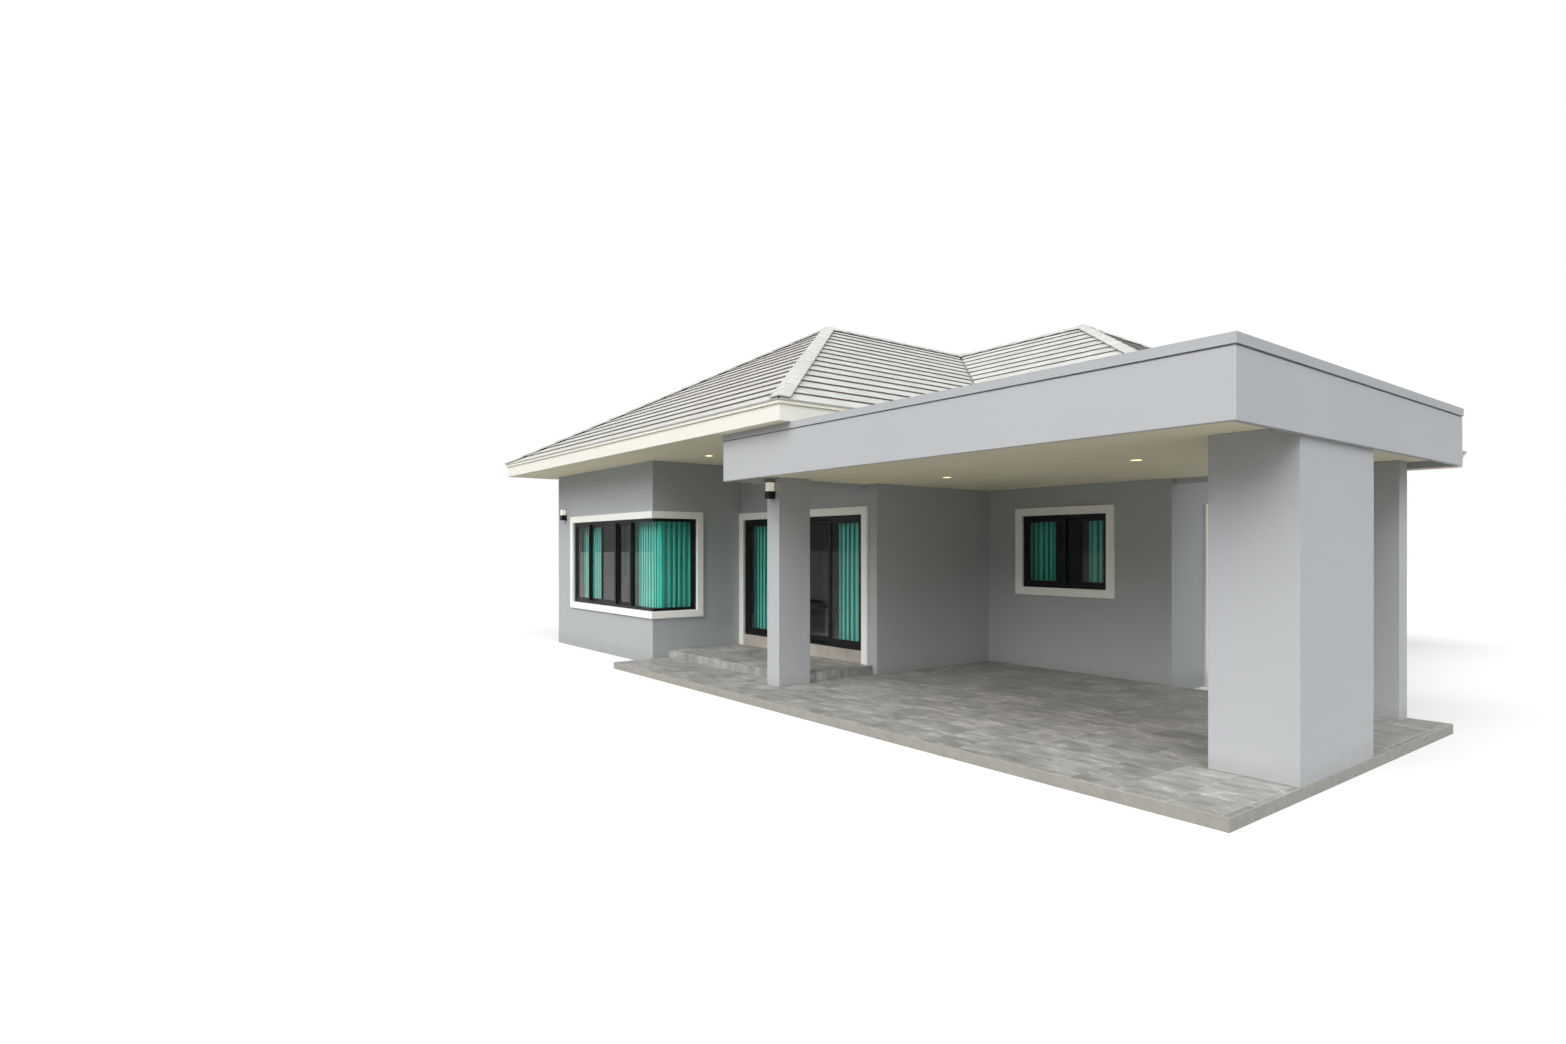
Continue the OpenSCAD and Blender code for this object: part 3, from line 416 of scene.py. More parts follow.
def dark_coat(name="dark_frame", colour=rgb(15, 15, 16)):
    """Satin powder coat on aluminium: fine orange peel and slightly worn gloss."""
    t = Tree(name)
    tone = t.mix(t.noise(3.0, 3.0), shade(colour, 0.85), shade(colour, 1.25))
    peel = t.bump(t.noise(900.0, 1.0), 0.00006)
    return t.finish(tone, t.ramp(t.noise(11.0, 3.0), -0.5, 2.0), peel, Specular_IOR_Level=0.25)


def rubber():
    t = Tree("gasket_rubber")
    tone = t.mix(t.noise(40.0, 2.0), rgb(12, 12, 12), rgb(24, 24, 24))
    return t.finish(tone, 0.75, t.bump(t.noise(500.0, 1.0), 0.0001))


def pane_glass():
    """Clear glass with a slight green tint that mirrors little straight on and strongly at a glance."""
    t = Tree("glass")
    t.nodes.remove(t.surface)
    clear = t.node("BsdfTransparent", {"Color": rgb(250, 253, 252)}).outputs[0]
    shine = t.node("BsdfGlossy", {"Color": rgb(250, 252, 252), "Roughness": 0.0})
    behind = t.node("NewGeometry").outputs["Backfacing"]
    fresnel = t.node("Fresnel", {"IOR": 1.6}).outputs[0]
    glance = t.ramp(t.math("MULTIPLY", fresnel, t.math("MULTIPLY", fresnel, MIRROR)), 0.0, 1.0)
    share = t.math("MULTIPLY", glance, t.math("SUBTRACT", 1.0, behind))
    pane = t.node("MixShader", {0: share, 1: clear, 2: shine.outputs[0]}).outputs[0]
    lamp_ray = t.node("LightPath").outputs["Is Shadow Ray"]
    both = t.node("MixShader", {0: lamp_ray, 1: pane, 2: clear}).outputs[0]
    t.links.new(both, t.output.inputs[0])
    return t.material


def door_paint():
    """White satin paint on a panelled door, and brushed metal where its levers stand off both faces."""
    t = Tree("door_paint")
    grain = t.noise(5.0, 4.0, t.stretched(12.0, 12.0, 0.8))
    tone = t.mix(grain, rgb(221, 219, 212), rgb(234, 232, 226))
    outer_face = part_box("east_wall")[1].x - LEAF_IN
    off_outside = t.math("GREATER_THAN", t.axis("X"), outer_face + LEVER_OFF)
    off_inside = t.math("LESS_THAN", t.axis("X"), outer_face - LEAF_T - LEVER_OFF)
    lever_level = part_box("house_floor")[1].z + LEVER_LEVEL
    near_lever = t.math("COMPARE", t.axis("Z"), lever_level, LEVER_HALF_H)
    middle = (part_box("side_door")[0].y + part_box("side_door")[1].y) / 2
    in_leaf = t.math("COMPARE", t.axis("Y"), middle, LEAF_HALF_W)
    inside_lever = t.math("MULTIPLY", off_inside, t.math("MULTIPLY", near_lever, in_leaf))
    metal = t.math("MAXIMUM", off_outside, inside_lever)
    tone = t.mix(metal, tone, rgb(178, 178, 176))
    return t.finish(tone, t.ramp(metal, -3.8, 4.2), t.bump(grain, 0.0002), Metallic=metal)


def silicone():
    t = Tree("silicone_bead")
    tone = t.mix(t.noise(30.0, 2.0), rgb(92, 122, 114), rgb(112, 142, 134))
    return t.finish(tone, 0.35, t.bump(t.noise(120.0, 1.0), 0.0002))


def frosted_lens():
    """Cream opal glass of a wall lamp."""
    t = Tree("lamp_lens")
    tone = t.mix(t.noise(9.0, 2.0), rgb(244, 242, 234), rgb(252, 250, 244))
    glow = {"Emission_Color": rgb(255, 246, 226), "Emission_Strength": 0.22}
    return t.finish(tone, 0.35, t.bump(t.noise(260.0, 1.0), 0.0001), **glow)


def glowing_lens():
    """Warm frosted lens of a recessed ceiling light that is switched on."""
    t = Tree("light_lens")
    tone = t.mix(t.noise(60.0, 2.0), rgb(255, 236, 200), rgb(255, 244, 220))
    glow = {"Emission_Color": rgb(255, 222, 150), "Emission_Strength": 3.2}
    return t.finish(tone, 0.4, t.bump(t.noise(150.0, 1.0), 0.0002), **glow)


def white_coat(name="rail_paint"):
    t = Tree(name)
    tone = t.mix(t.noise(8.0, 2.0), rgb(226, 226, 224), rgb(240, 240, 238))
    return t.finish(tone, 0.45, t.bump(t.noise(700.0, 1.0), 0.00005))


def curtain_cloth():
    """Teal woven cloth that lets some light through, with painted shade down in its folds."""
    t = Tree("curtain_cloth")
    threads = {"Vector": t.place, "Scale": 2600.0 / 6.3, "Distortion": 1.0}
    weft = t.node("TexWave", threads, bands_direction="Z")
    warp = t.node("TexWave", threads, bands_direction="X")
    weave = t.math("ADD", weft.outputs["Fac"], warp.outputs["Fac"])
    fade = t.noise(2.2, 3.0)
    slub = t.noise(40.0, 3.0, t.stretched(1.0, 1.0, 0.15))
    tone = t.mix(fade, rgb(84, 214, 198), rgb(114, 236, 224))
    tone = t.mix(t.math("MULTIPLY", slub, 0.35), tone, rgb(38, 170, 154))
    # Painted shade: ambient occlusion darkens the cloth's tone down in its folds.
    fold_shade = t.node("AmbientOcclusion", {"Distance": 0.07}, only_local=True).outputs["AO"]
    tone = t.mix(t.ramp(fold_shade, 0.85, 0.25), tone, rgb(20, 104, 92))
    woven = t.bump(weave, 0.00015)
    t.finish(tone, 0.78, woven, Sheen_Weight=0.35, Sheen_Roughness=0.4)
    through = t.node("BsdfTranslucent", {"Color": tone, "Normal": woven}).outputs[0]
    both = t.node("MixShader", {0: 0.14, 1: t.surface.outputs[0], 2: through}).outputs[0]
    t.links.new(both, t.output.inputs[0])
    return t.material


WALL = rgb(170, 174, 176)
POST = rgb(178, 180, 183)

FINISHES = {
    "wall_paint": render_coat("wall_paint", WALL, indoor_shade=True),
    "post_paint": render_coat("post_paint", POST),
    "white_render": render_coat("white_render", rgb(246, 245, 240), smooth=True),
    "ceiling_board": board("ceiling_board", rgb(250, 242, 214)),
    "fascia_board": fascia_paint("fascia_board", rgb(232, 229, 220)),
    "cap_metal": cap_sheet(),
    "roof_tile": roof_paint("roof_tile", True),
    "floor_tile": stone_tile(),
    "house_slab": slab_finish(),
    "dark_frame": dark_coat(),
    "glass": pane_glass(),
    "door_paint": door_paint(),
    "lamp_metal": dark_coat("lamp_metal", rgb(22, 19, 18)),
    "light_lens": glowing_lens(),
    "rail_paint": white_coat(),
    "curtain_cloth": curtain_cloth(),
}
COATED = roof_paint("coated_tile", False)
UNDERLAY = underlay_sheet()
CLOSURE = closure_board()
VALLEY = valley_metal()
GROUT = grout()
RUBBER = rubber()
BEAD = silicone()
LAMP_LENS = frosted_lens()
TRIM_WHITE = white_coat("light_trim")


def dress_frame():
    """Gives every CAD node its finish, and takes the sharpness off the edges that catch light."""
    soft = {"post_paint": 0.007, "white_render": 0.004, "fascia_board": 0.004}
    for part in frame["record"]["subparts"]:
        node, slot = part["node"], part["material_slot"]
        thing = frame["nodes"][node]
        finish = GROUT if slot == "floor_tile" else FINISHES[slot]
        thing.data.materials.clear()
        thing.data.materials.append(finish)
        if slot in soft:
            ease_edges(thing, soft[slot])


def ease_edges(thing, width):
    """Bevels the sharp edges of a thing."""
    weld = thing.modifiers.new("weld", "WELD")
    weld.merge_threshold = 0.0001
    bevel = thing.modifiers.new("ease", "BEVEL")
    bevel.width = width
    bevel.segments = 2
    bevel.limit_method = "ANGLE"
    bevel.angle_limit = math.radians(40)
    thing.modifiers.new("normals", "WEIGHTED_NORMAL")


# Meshes


def add_piece(name, points, faces, finish, slot, body="root", replaces=(), smooth=False):
    """A mesh that rides on a body of the frame."""
    mesh = bpy.data.meshes.new(name)
    mesh.from_pydata([tuple(p) for p in points], [], faces)
    mesh.validate()
    mesh.update()
    mesh.materials.append(finish)
    if smooth:
        mesh.shade_smooth()
    piece = bpy.data.objects.new(name, mesh)
    bpy.context.scene.collection.objects.link(piece)
    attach(piece, body)
    if replaces:
        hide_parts(*replaces)
    return piece


class Shapes:
    """Points and faces of many solids that end up in one mesh."""

    def __init__(self):
        self.points = []
        self.faces = []

    def add(self, points, faces):
        start = len(self.points)
        self.points += points
        self.faces += [[start + i for i in face] for face in faces]

    def slab(self, low, high, open_sides=()):
        """A solid between two rings of as many points, both seen counter-clockwise from above."""
        n = len(low)
        sides = [[i, (i + 1) % n, n + (i + 1) % n, n + i] for i in range(n) if i not in open_sides]
        self.add(low + high, [list(range(n))[::-1], list(range(n, 2 * n)), *sides])

    def box(self, low, high, inset=0.0):
        """A box between two corners. Its top may be smaller all round by an inset."""
        (x0, y0, z0), (x1, y1, z1) = low, high
        foot = [Vector((x, y, z0)) for x, y in ((x0, y0), (x1, y0), (x1, y1), (x0, y1))]
        a0, a1, b0, b1 = x0 + inset, x1 - inset, y0 + inset, y1 - inset
        top = [Vector((x, y, z1)) for x, y in ((a0, b0), (a1, b0), (a1, b1), (a0, b1))]
        self.slab(foot, top)

    def piece(self, name, finish, slot, **rest):
        return add_piece(name, self.points, self.faces, finish, slot, **rest)


def clip(polygon, side, limit):
    """The part of a convex polygon whose points, measured along side, lie at most at limit."""
    kept = []
    for i, p in enumerate(polygon):
        q = polygon[(i + 1) % len(polygon)]
        at_p, at_q = p.dot(side) - limit, q.dot(side) - limit
        if at_p <= 0:
            kept.append(p)
        if at_p * at_q < 0:
            kept.append(p.lerp(q, at_p / (at_p - at_q)))
    return kept


def area_of(polygon):
    pairs = zip(polygon, polygon[1:] + polygon[:1])
    return sum(p.x * q.y - p.y * q.x for p, q in pairs) / 2


def solids(node):
    """Lowest and highest corners of each separate solid of a CAD node, ordered by place."""
    mesh = frame["nodes"][node].data
    root = {}

    def find(k):
        while root.setdefault(k, k) != k:
            k = root[k]
        return k

    keys = [tuple(round(c, 4) for c in v.co) for v in mesh.vertices]
    for face in mesh.polygons:
        first = find(keys[face.vertices[0]])
        for i in face.vertices:
            root[find(keys[i])] = first
    groups = {}
    for k in keys:
        groups.setdefault(find(k), []).append(k)
    boxes = []
    for points in groups.values():
        boxes.append((Vector(map(min, zip(*points))), Vector(map(max, zip(*points)))))
    return sorted(boxes, key=lambda b: tuple(round(c, 3) for c in b[0]))


# Roof


class Slope:
    """One slope of the roof: its upper plane, and its outline there, along the eaves and uphill."""

    def __init__(self, node):
        mesh = frame["nodes"][node].data
        top = max((f for f in mesh.polygons if f.normal.z > 0.3), key=lambda f: f.area)
        self.node = node
        self.name = node.replace("roof_", "")
        self.normal = top.normal.copy()
        self.up = (Vector((0, 0, 1)) - self.normal * self.normal.z).normalized()
        self.across = self.up.cross(self.normal)
        level = top.center.dot(self.normal)
        heights = [v.co.dot(self.normal) - level for v in mesh.vertices]
        self.depth = -min(heights)
        self.corners = []
        for v, h in zip(mesh.vertices, heights):
            if abs(h) < SAME_PLANE and all((v.co - c).length > SAME_CORNER for c in self.corners):
                self.corners.append(v.co.copy())
        self.origin = min(self.corners, key=lambda c: (round(c.z, 3), c.dot(self.across)))
        self.middle = sum(self.corners, Vector()) / len(self.corners)
        flat_middle = self.flat(self.middle)
        flat = [self.flat(c) for c in self.corners]
        self.outline = sorted(flat, key=lambda p: math.atan2(*(p - flat_middle).yx))
        self.insets = [0.0] * len(self.outline)

    def flat(self, point):
        away = point - self.origin
        return Vector((away.dot(self.across), away.dot(self.up)))

    def at(self, p, height=0.0):
        """The point of space over a point of the slope, square to the slope."""
        return self.origin + self.across * p.x + self.up * p.y + self.normal * height

    def plumb(self, p, height=0.0):
        """The point straight above or below a point of the slope."""
        return self.at(p) + Vector((0, 0, height / self.normal.z))

    def edges(self):
        return list(zip(self.outline, self.outline[1:] + self.outline[:1]))

    def trim(self, polygon, insets):
        """The part of a polygon inside the slope's outline, moved in by an inset at each edge."""
        for (p, q), inset in zip(self.edges(), insets):
            along = (q - p).normalized()
            out = Vector((along.y, -along.x))
            polygon = clip(polygon, out, p.dot(out) - inset)
            if len(polygon) < 3:
                return []
        return polygon


def roof_slopes():
    return [Slope(n) for n in sorted(frame["nodes"]) if n.startswith("roof_")]


def roof_lines(slopes):
    """The lines where two slopes meet: both slopes, the lower and upper end, and if it is a valley."""
    lines = []
    for i, a in enumerate(slopes):
        for b in slopes[i + 1:]:
            ends = [c for c in a.corners if any((c - d).length < SAME_END for d in b.corners)]
            if len(ends) == 2:
                ends.sort(key=lambda c: (round(c.z, 3), c.y))
                valley = (b.middle - a.origin).dot(a.normal) > 0
                lines.append((a, b, ends[0], ends[1], valley))
    return lines


def set_insets(lines):
    """Tells each slope how far its tiles stay back from the lines where it meets another."""
    for a, b, low, high, valley in lines:
        for slope in (a, b):
            ends = {tuple(round(c, 3) for c in slope.flat(p)) for p in (low, high)}
            for i, edge in enumerate(slope.edges()):
                if {tuple(round(c, 3) for c in p) for p in edge} == ends:
                    slope.insets[i] = VALLEY_GAP if valley else FOLD_GAP


def tile_outline(left, right, nose, head):
    """A flat tile seen from above, with notched lower corners."""
    c = TILE_NOTCH
    lower = [(left + c, nose), (right - c, nose), (right, nose + c)]
    upper = [(right, head), (left, head), (left, nose + c)]
    return [Vector(p) for p in lower + upper]


def with_crossings(ring, v):
    """The ring with points added where it crosses the line at height v."""
    out = []
    for p, q in zip(ring, ring[1:] + ring[:1]):
        out.append(p)
        if (p.y - v) * (q.y - v) < -1e-12:
            out.append(p.lerp(q, (v - p.y) / (q.y - p.y)))
    return out


def lay_tile(shapes, slope, ring, nose, gauge, lift):
    """One tile: full thickness at its nose, thinner towards its head, with an eased upper edge."""
    ease_line = nose + TILE_EASE
    ring = with_crossings(ring, ease_line)
    head = gauge + TILE_LAP

    def top(p):
        if p.y < ease_line - 1e-6:
            return lift - 0.5 * TILE_EASE
        return lift - COURSE_STEP * (p.y - nose) / gauge

    def bottom(p):
        share = (p.y - nose) / head
        at_head = -COURSE_STEP * head / gauge - TILE_HEAD_T
        return lift - TILE_NOSE + share * (at_head + TILE_NOSE)

    n = len(ring)
    low = [slope.at(p, bottom(p)) for p in ring]
    high = [slope.at(p, top(p)) for p in ring]
    sides = [[i, (i + 1) % n, n + (i + 1) % n, n + i] for i in range(n)]
    upper = [n + i for i in range(n) if ring[i].y >= ease_line - 1e-6]
    lower = [n + i for i in range(n) if ring[i].y <= ease_line + 1e-6]
    tops = [part for part in (upper, lower) if len(part) > 2]
    shapes.add(low + high, [list(range(n))[::-1], *tops, *sides])


def tile_slope(slope):
    """Courses of flat tiles in broken bond over one slope, cut along its hips, ridge and valley."""
    chance = random.Random(slope.name)
    run = max(p.y for p in slope.outline)
    gauge = run / COURSES
    u_low, u_high = min(p.x for p in slope.outline), max(p.x for p in slope.outline)
    edge, field = Shapes(), Shapes()
    for course in range(COURSES):
        shapes = field if course else edge
        nose = course * gauge
        head = nose + gauge + TILE_LAP
        shift = TILE_W / 2 * (course % 2)
        for i in range(math.floor((u_low - shift) / TILE_W), math.ceil((u_high - shift) / TILE_W)):
            left = i * TILE_W + shift + TILE_JOINT / 2
            lift = -chance.uniform(0.0, TILE_PLAY)
            ring = tile_outline(left, left + TILE_W - TILE_JOINT, nose, head)
            ring = slope.trim(ring, slope.insets)
            if len(ring) > 2 and area_of(ring) > TILE_SLIVER:
                lay_tile(shapes, slope, ring, nose, gauge, lift)
    field.piece("roof_tiles_" + slope.name, FINISHES["roof_tile"], "roof_tile", replaces=[slope.node])
    edge.piece("eaves_tiles_" + slope.name, COATED, "roof_tile")


def eaves_insets(slope, back):
    """Insets that move in only the slope's eaves, which no other slope meets."""
    return [0.0 if inset else back for inset in slope.insets]


def lay_underlay(slopes):
    """The boards and battens under the tiles, with a mortar bed under the eaves course."""
    shapes, beds = Shapes(), Shapes()
    for slope in slopes:
        ring = slope.trim(slope.outline, eaves_insets(slope, EAVE_BACK + EAVE_BED_W))
        low = [slope.plumb(p, -slope.depth) for p in ring]
        shapes.slab(low, [slope.plumb(p, UNDERLAY_TOP) for p in ring])
        ring = slope.trim(slope.outline, eaves_insets(slope, EAVE_BACK))
        strip = clip(ring, Vector((0, 1)), EAVE_BACK + EAVE_BED_W)
        low = [slope.plumb(p, -slope.depth) for p in strip]
        beds.slab(low, [slope.plumb(p, -TILE_NOSE - EAVE_BED_GAP) for p in strip])
    shapes.piece("roof_underlay", UNDERLAY, "roof_tile")
    beds.piece("eaves_bed", CLOSURE, "roof_tile")


def line_frame(slope, low, high):
    """Along and inward directions of a roof line in the slope's own plane, and the line's start."""
    start, end = slope.flat(low), slope.flat(high)
    along = (end - start).normalized()
    inward = Vector((-along.y, along.x))
    if (slope.flat(slope.middle) - start).dot(inward) < 0:
        inward = -inward
    return start, along, inward


def fold_offset(a, b):
    """Where a point lies over a roof line so that it stands 1 above both slopes."""
    return (a.normal + b.normal) / (1 + a.normal.dot(b.normal))


def half_strip(shapes, slope, line, fold, reach, s0, s1, low, high):
    """Half of a folded strip along a roof line, from s0 to s1 and out to reach, between two heights."""
    start, along, inward = line
    corners = [(s0, 0), (s1, 0), (s1, reach), (s0, reach)]
    ring = [start + along * s + inward * r for s, r in corners]
    if area_of(ring) < 0:
        ring.reverse()
    ring = slope.trim(ring, [0.0] * len(slope.insets))
    if len(ring) < 3 or area_of(ring) < CAP_SLIVER:
        return

    folded = [abs((p - start).dot(inward)) < ON_LINE for p in ring]

    def lifted(height):
        ways = [fold if on_fold else slope.normal for on_fold in folded]
        return [slope.at(p) + way * height((p - start).dot(along)) for p, way in zip(ring, ways)]

    inner = [i for i in range(len(ring)) if folded[i] and folded[(i + 1) % len(ring)]]
    shapes.slab(lifted(low), lifted(high), open_sides=inner)


def lay_caps(lines):
    """Angular caps that overlap up every hip and along every ridge, each raised at its lower end."""
    shapes = Shapes()
    for a, b, low_end, high_end, valley in lines:
        if valley:
            continue
        length = (high_end - low_end).length
        count = max(1, round(length / CAP_PITCH))
        pitch = length / count
        fold = fold_offset(a, b)
        for i in range(count):
            s0, s1 = i * pitch, min(length, (i + 1) * pitch + CAP_LAP)

            def bottom(s, s0=s0, span=pitch + CAP_LAP):
                return CAP_GAP + CAP_RISE * (1 - (s - s0) / span)

            def top(s, bottom=bottom):
                return bottom(s) + CAP_T

            for slope in (a, b):
                line = line_frame(slope, low_end, high_end)
                half_strip(shapes, slope, line, fold, CAP_HALF_W, s0, s1, bottom, top)
    caps = shapes.piece("ridge_and_hip_tiles", COATED, "roof_tile", replaces=["ridge_and_hip_caps"])
    ease_edges(caps, CAP_EASE)


def lay_hubs(slopes):
    """Moulded pieces where ridges and hips come together."""
    shapes = Shapes()
    points = {}
    for slope in slopes:
        for c in slope.corners:
            points.setdefault(tuple(round(x, 2) for x in c), []).append((slope, c))
    for found in points.values():
        if len(found) < 3:
            continue
        for slope, c in found:
            p = slope.flat(c)
            ring = slope.outline
            for side in (Vector((1, 0)), Vector((-1, 0)), Vector((0, -1))):
                ring = clip(ring, side, p.dot(side) + HUB_REACH)
            low = [slope.plumb(q, HUB_LOW) for q in ring]
            shapes.slab(low, [slope.plumb(q, HUB_HIGH) for q in ring])
    hubs = shapes.piece("ridge_junctions", COATED, "roof_tile")
    ease_edges(hubs, CAP_EASE)


def lay_valleys(lines):
    """A folded metal tray along each valley, seen between the cut tiles."""
    shapes = Shapes()
    for a, b, low_end, high_end, valley in lines:
        if not valley:
            continue
        length = (high_end - low_end).length
        fold = fold_offset(a, b)
        for slope in (a, b):
            line = line_frame(slope, low_end, high_end)
            half_strip(
                shapes, slope, line, fold, VALLEY_TRAY_W, 0.0, length,
                lambda s: UNDERLAY_TOP + VALLEY_TRAY_GAP, lambda s: UNDERLAY_TOP + VALLEY_TRAY_T,
            )
    shapes.piece("valley_tray", VALLEY, "cap_metal")


def build_roof():
    slopes = roof_slopes()
    lines = roof_lines(slopes)
    set_insets(lines)
    for slope in slopes:
        tile_slope(slope)
    lay_underlay(slopes)
    lay_caps(lines)
    lay_hubs(slopes)
    lay_valleys(lines)


# Floors


def wide_enough(rect):
    return rect[2] - rect[0] > PAVER_LEAST and rect[3] - rect[1] > PAVER_LEAST


def without(rects, hole):
    """Rectangles (x0, y0, x1, y1) with another one cut out of them."""
    hx0, hy0, hx1, hy1 = hole
    left = []
    for x0, y0, x1, y1 in rects:
        if hx1 <= x0 or hx0 >= x1 or hy1 <= y0 or hy0 >= y1:
            left.append((x0, y0, x1, y1))
            continue
        my0, my1 = max(y0, hy0), min(y1, hy1)
        parts = [(x0, y0, x1, my0), (x0, my1, x1, y1), (x0, my0, hx0, my1), (hx1, my0, x1, my1)]
        left += [part for part in parts if wide_enough(part)]
    return left


def lay_pavers(shapes, region, level, holes=()):
    """Square tiles that fill a region at a level, from its lower corner, cut round the holes."""
    x0, y0, x1, y1 = region
    for i in range(math.ceil((x1 - x0) / PAVER)):
        for j in range(math.ceil((y1 - y0) / PAVER)):
            cell = (
                x0 + i * PAVER + PAVER_JOINT / 2,
                y0 + j * PAVER + PAVER_JOINT / 2,
                min(x1, x0 + (i + 1) * PAVER) - PAVER_JOINT / 2,
                min(y1, y0 + (j + 1) * PAVER) - PAVER_JOINT / 2,
            )
            parts = [cell] if wide_enough(cell) else []
            for hole in holes:
                parts = without(parts, hole)
            for a0, b0, a1, b1 in parts:
                shapes.box((a0, b0, level), (a1, b1, level + PAVER_T), PAVER_EASE)


def plan_of(node, grow=0.0):
    """The rectangle that a node covers on the ground."""
    low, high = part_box(node)
    return (low.x - grow, low.y - grow, high.x + grow, high.y + grow)


def pave_carport():
    """Stone-look tiles over the carport floor, cut round the house, the terrace and the posts."""
    region, level = plan_of("carport_floor"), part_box("carport_floor")[1].z
    wall = plan_of("entry_wall_over")
    standing = ("entry_terrace", "entry_column", "front_pier", "rear_column")
    holes = [(*wall[:3], region[3] + 1), *(plan_of(node, PAVER_JOINT) for node in standing)]
    shapes = Shapes()
    lay_pavers(shapes, region, level, holes)
    shapes.piece("carport_floor_tiles", FINISHES["floor_tile"], "floor_tile")


def pave_terrace():
    """Tiles on the entry terrace and on its two open risers."""
    low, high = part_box("entry_terrace")
    shapes = Shapes()
    lay_pavers(shapes, plan_of("entry_terrace"), high.z, [plan_of("entry_column", PAVER_JOINT)])
    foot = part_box("carport_floor")[1].z + PAVER_T
    for start, end, along, out in (
        (low.x, high.x, Vector((1, 0, 0)), Vector((0, -1, 0))),
        (low.y, high.y, Vector((0, 1, 0)), Vector((1, 0, 0))),
    ):
        base = Vector((0, low.y, 0)) if along.x else Vector((high.x, 0, 0))
        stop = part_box("entry_column")[0].x - low.x if along.x else end - start
        for i in range(math.ceil(stop / PAVER)):
            a = start + i * PAVER + PAVER_JOINT / 2
            b = min(start + stop, start + (i + 1) * PAVER) - PAVER_JOINT / 2
            if b - a > PAVER_LEAST:
                riser_tile(shapes, base, along, out, a, b, foot, high.z)
    shapes.piece("entry_terrace_tiles", FINISHES["floor_tile"], "floor_tile")


def pave_side_step():
    """Tiles on the step before the side door."""
    shapes = Shapes()
    lay_pavers(shapes, plan_of("side_step"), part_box("side_step")[1].z)
    shapes.piece("side_step_tiles", FINISHES["floor_tile"], "floor_tile")


def riser_tile(shapes, base, along, out, a, b, foot, top):
    """An upright tile between a and b along a riser."""
    rise = Vector((0, 0, 1))
    ring = [(a, foot), (b, foot), (b, top), (a, top)]
    back = [base + along * s + rise * z for s, z in ring]
    e = PAVER_EASE
    ring = [(a + e, foot + e), (b - e, foot + e), (b - e, top - e), (a + e, top - e)]
    face = [base + along * s + rise * z + out * PAVER_T for s, z in ring]
    if along.cross(rise).dot(out) < 0:
        back.reverse()
        face.reverse()
    shapes.slab(back, face)


# Openings


def ring_bars(shapes, low, high, axis, bar, spread):
    """A rectangular frame of square bars round a pane, whose normal is the axis."""
    wide = 1 - axis
    a0, a1, z0, z1 = low[wide], high[wide], low.z, high.z
    d0, d1 = low[axis] - spread, high[axis] + spread
    for p0, p1, q0, q1 in (
        (a0, a1, z0, z0 + bar),
        (a0, a1, z1 - bar, z1),
        (a0, a0 + bar, z0 + bar, z1 - bar),
        (a1 - bar, a1, z0 + bar, z1 - bar),
    ):
        lo, hi = [0, 0, q0], [0, 0, q1]
        lo[wide], hi[wide] = p0, p1
        lo[axis], hi[axis] = d0, d1
        shapes.box(lo, hi)


def fit_gaskets(name, node, body="root"):
    """Rubber glazing beads round every flat pane of a node, on both faces of the glass."""
    shapes = Shapes()
    for low, high in solids(node):
        if min(high.x - low.x, high.y - low.y) < THICKEST_PANE:
            axis = 1 if high.y - low.y < high.x - low.x else 0
            ring_bars(shapes, low, high, axis, GASKET_W, GASKET_OUT)
    shapes.piece(name, RUBBER, "dark_frame", body=body)


def fill_corner_joint():
    """The soft clear bead where the two frameless panes meet."""
    low, high = max(solids("corner_window_glass"), key=lambda b: b[1].x)
    middle = Vector((high.x - BEAD_W / 2, low.y + BEAD_W / 2, low.z))
    radius = BEAD_W * 0.75
    shapes = Shapes()
    turned(shapes, middle, [(radius, 0.0), (radius, high.z - low.z)], steps=16)
    shapes.piece("corner_joint_bead", BEAD, "glass", smooth=True)


def build_openings():
    fit_gaskets("corner_window_gaskets", "corner_window_glass")
    fill_corner_joint()
    fit_gaskets("plain_window_gaskets", "window_glass")
    fit_gaskets("entry_fixed_gaskets", "entry_fixed_glass")
    fit_gaskets("left_panel_gaskets", "left_sliding_glass", "left_panel")
    fit_gaskets("right_panel_gaskets", "right_sliding_glass", "right_panel")


# Lights


def turned(shapes, middle, profile, steps=48):
    """A closed ring or disc from a profile of (radius, height) points, turned about the vertical."""
    points, faces = [], []
    for r, z in profile:
        for k in range(steps):
            a = 2 * math.pi * k / steps
            points.append(middle + Vector((r * math.cos(a), r * math.sin(a), z)))
    for i in range(len(profile) - 1):
        for k in range(steps):
            j = (k + 1) % steps
            faces.append([i * steps + k, i * steps + j, (i + 1) * steps + j, (i + 1) * steps + k])
    faces.append(list(range(steps))[::-1])
    faces.append([(len(profile) - 1) * steps + k for k in range(steps)])
    shapes.add(points, faces)


